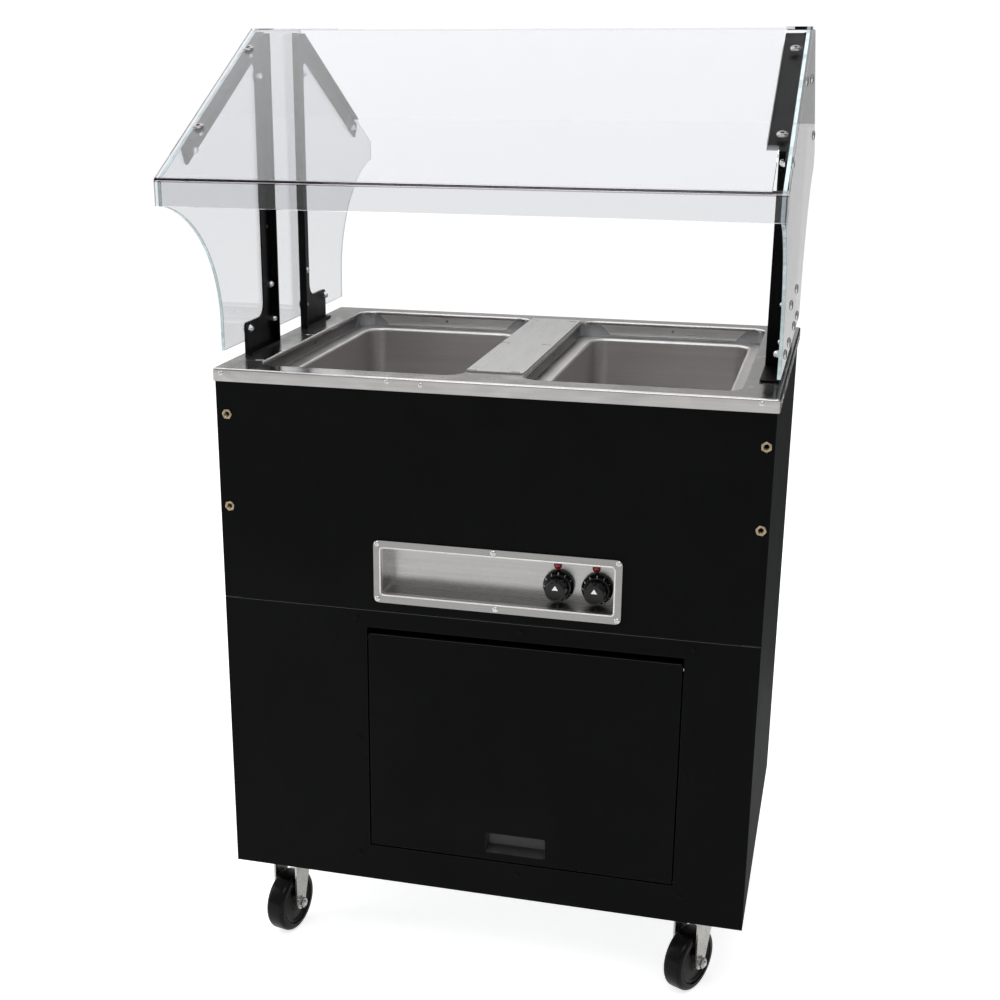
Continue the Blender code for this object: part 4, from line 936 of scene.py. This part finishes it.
def end_panel_outline():
    """(depth, height) points round an end panel, the front half first."""
    low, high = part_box("end_panel_left")
    lip_y, lip_z = low.y, FOLD.y - FRONT_LIP
    corner, start, steps = END_CORNER, 12, 28
    first = math.radians(start)
    sweep = []
    for step in range(1, steps + 1):
        angle = math.radians(start + (90 - start) * step / steps)
        across = (math.sin(angle) - math.sin(first)) / (1 - math.sin(first))
        down = (math.cos(first) - math.cos(angle)) / math.cos(first)
        sweep.append((lip_y + (corner.x - lip_y) * across, lip_z + (corner.y - lip_z) * down))
    half = [(PEAK.x + 9.5 * MM, high.z - COUNTER_Z), (lip_y, on_slope(lip_y, ACRYLIC_SHEET + 0.3 * MM)),
            (lip_y, lip_z)] + sweep + [(corner.x, 20 * MM)]
    middle = (low.y + high.y) / 2
    return half + [(2 * middle - y, z) for y, z in reversed(half)]


def make_end_panels():
    """Clear ends with smooth sweeps and frosted sawn edges."""
    for name in ("left", "right"):
        low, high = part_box(f"end_panel_{name}")
        mesh = flat_plate("end_panel", end_panel_outline(), high.x - low.x)
        place = Matrix.Translation((low.x, 0, COUNTER_Z)) @ TO_SIDE
        panel = add_piece(f"clear_end_{name}", mesh, ACRYLIC, "cabinet", place,
                          (f"end_panel_{name}",))
        mesh.materials.append(CUT_EDGE)
        for face in mesh.polygons:
            face.material_index = 0 if abs(face.normal.z) > 0.5 else 1
        soften(panel, 0.5 * MM, 2, 50)


def make_guard_fasteners():
    """Button heads on the panels' outer faces, and dome nuts on the brackets' inner faces."""
    head, nut = socket_head(7.4 * MM, 2.8 * MM), dome_nut(5.6 * MM, 8.5 * MM)
    slope_normal = (0, SLOPE_OUT.x, SLOPE_OUT.y)
    for name, way in (("left", -1), ("right", 1)):
        heads, slope_heads, nuts = [], [], []
        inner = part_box(f"guard_bracket_front_{name}")
        sheet = 2.5 * MM
        flange = abs(inner[1 if way < 0 else 0].x)
        web = abs(inner[0 if way < 0 else 1].x) - sheet
        for y in SLOPE_BOLTS_Y:
            x = way * (web + max(flange, web - 15 * MM)) / 2
            slope_heads.append(facing((x, y, COUNTER_Z + on_slope(y)), slope_normal, 25))
            under = Vector((y, on_slope(y))) - SLOPE_OUT * (ACRYLIC_SHEET + 3.0 * MM)
            nuts.append(facing((x, under.x, COUNTER_Z + under.y), [-part for part in slope_normal], 10))
        outside = abs(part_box(f"end_panel_{name}")[0 if way < 0 else 1].x)
        for end in (-1, 1):
            for y, z in GUARD_BOLTS:
                depth = y if end < 0 else 2 * BRACKET_MIDDLE - y
                heads.append(facing((way * outside, depth, COUNTER_Z + z), (way, 0, 0), 400 * z))
                nuts.append(facing((way * web, depth, COUNTER_Z + z), (-way, 0, 0), 70 * y))
        for kind, mesh, places, finish in (("guard_bolts", head, heads, BRIGHT),
                                           ("slope_bolts", head, slope_heads, DULL_BOLT),
                                           ("guard_nuts", nut, nuts, BRIGHT)):
            add_piece(f"{kind}_{name}", repeated(kind, mesh, places), finish, "cabinet")


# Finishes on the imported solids

def finish_nodes():
    finishes = (
        (TRIM_STEEL, ("bezel",)),
        (LIT_RECESS_STEEL, ("control_tray",)),
        (PLATE_STEEL, ("divider_plate",)),
        (GALVANISED, ("well_housing", "cabinet_floor", "deck", "corner_post", "door_track")),
        (PAINT, ("upper_front_panel", "lower_front_frame", "rear_panel", "door")),
        (SHEEN_SIDE_PAINT, ("side_panel",)),
        (BRACKET_PAINT, ("guard_bracket",)),
        (CUP_PLASTIC, ("door_pull", "cord_gland")),
        (PHENOLIC, ("thermostat", "terminal_block")),
        (BRIGHT, ("door_carriage", "thermostat_shaft")),
        (ZINC, ("caster_plate", "caster_fork", "axle")),
        (SHEATH, ("heating_element",)),
        (ACRYLIC, ("front_guard_panel", "end_panel")),
        (WELL_STEEL, ("well_pan", "counter_top")),
        (PLASTIC, ("knob",)),
        (LENS, ("indicator_lamp",)),
        (RUBBER, ("wheel",)),
    )
    stems = {stem: material for material, group in finishes for stem in group}
    for node, obj in NODES.items():
        found = [stem for stem in stems if f"{node}_".startswith(stem + "_")]
        if found:
            obj.data.materials.clear()
            obj.data.materials.append(stems[max(found, key=len)])


def soften_nodes():
    rounding = {"bezel": 0.7, "divider_plate": 0.5, "upper_front_panel": 0.35, "lower_front_frame": 0.35,
                "door": 0.4, "control_tray": 0.35, "caster_fork": 0.7, "caster_plate": 0.6, "axle": 0.5,
                "guard_bracket": 0.4, "side_panel": 0.35, "rear_panel": 0.3, "door_carriage": 0.4,
                "front_guard_panel": 0.5}
    for node, obj in NODES.items():
        for stem, width in rounding.items():
            if node == stem or stem != "door" and node.startswith(stem + "_"):
                soften(obj, width * MM, 2, 45)


# Stage, light and camera

def seen_directly(tree, socket, low, high):
    """A socket that is high where the camera looks, also through the acrylic, and low elsewhere."""
    rays, level = tree.nodes.new("ShaderNodeLightPath"), tree.nodes.new("ShaderNodeMapRange")
    either = tree.nodes.new("ShaderNodeMath")
    either.operation = "MAXIMUM"
    tree.links.new(rays.outputs["Is Camera Ray"], either.inputs[0])
    tree.links.new(rays.outputs["Is Transmission Ray"], either.inputs[1])
    level.inputs["To Min"].default_value, level.inputs["To Max"].default_value = low, high
    tree.links.new(either.outputs[0], level.inputs["Value"])
    tree.links.new(level.outputs["Result"], socket)


def studio_sheet(name, half):
    shape = bmesh.new()
    bmesh.ops.create_grid(shape, x_segments=1, y_segments=1, size=half)
    return new_object(name, to_mesh(name, shape))


def make_stage():
    floor = studio_sheet("studio_floor", 30.0)
    nodes = Nodes("studio_floor")
    tone = nodes.noise(1.5, 2.0, 0.5)
    nodes.drive("Base Color", nodes.mix(tone, (0.86, 0.86, 0.86), (0.90, 0.90, 0.90)))
    nodes.set(Roughness=0.9, Specular_IOR_Level=0.0, Emission_Color=(1.0, 1.0, 1.0))
    seen_directly(nodes.tree, nodes.shader.inputs["Emission Strength"], 0.30, 0.72)
    floor.data.materials.append(nodes.material)
    world = bpy.data.worlds.new("studio")
    world.use_nodes = True
    tree = world.node_tree
    back = tree.nodes["Background"]
    seen_directly(tree, back.inputs["Strength"], 0.36, 1.05)
    back.inputs["Color"].default_value = (1.0, 1.0, 1.0, 1.0)
    bpy.context.scene.world = world
    bpy.context.scene.view_settings.view_transform = "Standard"
    make_flag()


def make_flag():
    """A dark card behind and to the right, hidden from the camera, which keeps the right side deep."""
    flag = studio_sheet("dark_card", 0.5)
    flag.matrix_world = (Matrix.Translation((1.62, 1.1, 0.75)) @ TO_FRONT
                         @ Matrix.Diagonal((2.3, 1.5, 1.0, 1.0)))
    nodes = Nodes("dark_card")
    nodes.drive("Base Color", nodes.mix(nodes.noise(), (0.03, 0.03, 0.03), (0.05, 0.05, 0.05)))
    nodes.set(Roughness=0.9, Specular_IOR_Level=0.0)
    flag.data.materials.append(nodes.material)
    flag.visible_camera = False
    flag.visible_transmission = False
    flag.visible_shadow = False


def add_area_light(name, position, target, size, power):
    data = bpy.data.lights.new(name, "AREA")
    data.shape = "RECTANGLE"
    data.size, data.size_y = size
    data.energy = power
    light = new_object(name, data)
    aim = (Vector(target) - Vector(position)).to_track_quat("-Z", "Y")
    light.matrix_world = Matrix.Translation(position) @ aim.to_matrix().to_4x4()


def make_lights():
    add_area_light("overhead", (-1.1, 1.3, 3.6), (0, -0.1, 1.2), (4.2, 4.2), 75)
    add_area_light("front_top", (0.2, -2.2, 3.8), (0, 0, 0.9), (3.0, 2.0), 42)
    add_area_light("left", (-3.2, -1.2, 1.8), (0, 0, 0.8), (1.2, 2.4), 22)


def make_camera():
    data = bpy.data.cameras.new("camera")
    data.sensor_width = 36.0
    data.lens = 54.42
    data.shift_x = 0.0548
    data.shift_y = 0.0421
    data.dof.use_dof = False
    camera = new_object("camera", data)
    camera.location = (0.4874, -2.2973, 1.3862)
    camera.rotation_euler = (math.radians(72.01), 0.0, math.radians(15.16))
    bpy.context.scene.camera = camera


make_camera()
finish_nodes()
soften_nodes()
make_counter()
for well_name, well_side in (("left", -1), ("right", 1)):
    make_well(well_name, well_side)
place_fasteners()
make_blind_nuts()
make_knobs()
make_casters()
make_front_panel()
make_end_panels()
make_bezel_lip()
make_slot_shadows()
make_edge_lines()
make_guard_fasteners()
make_stage()
make_lights()
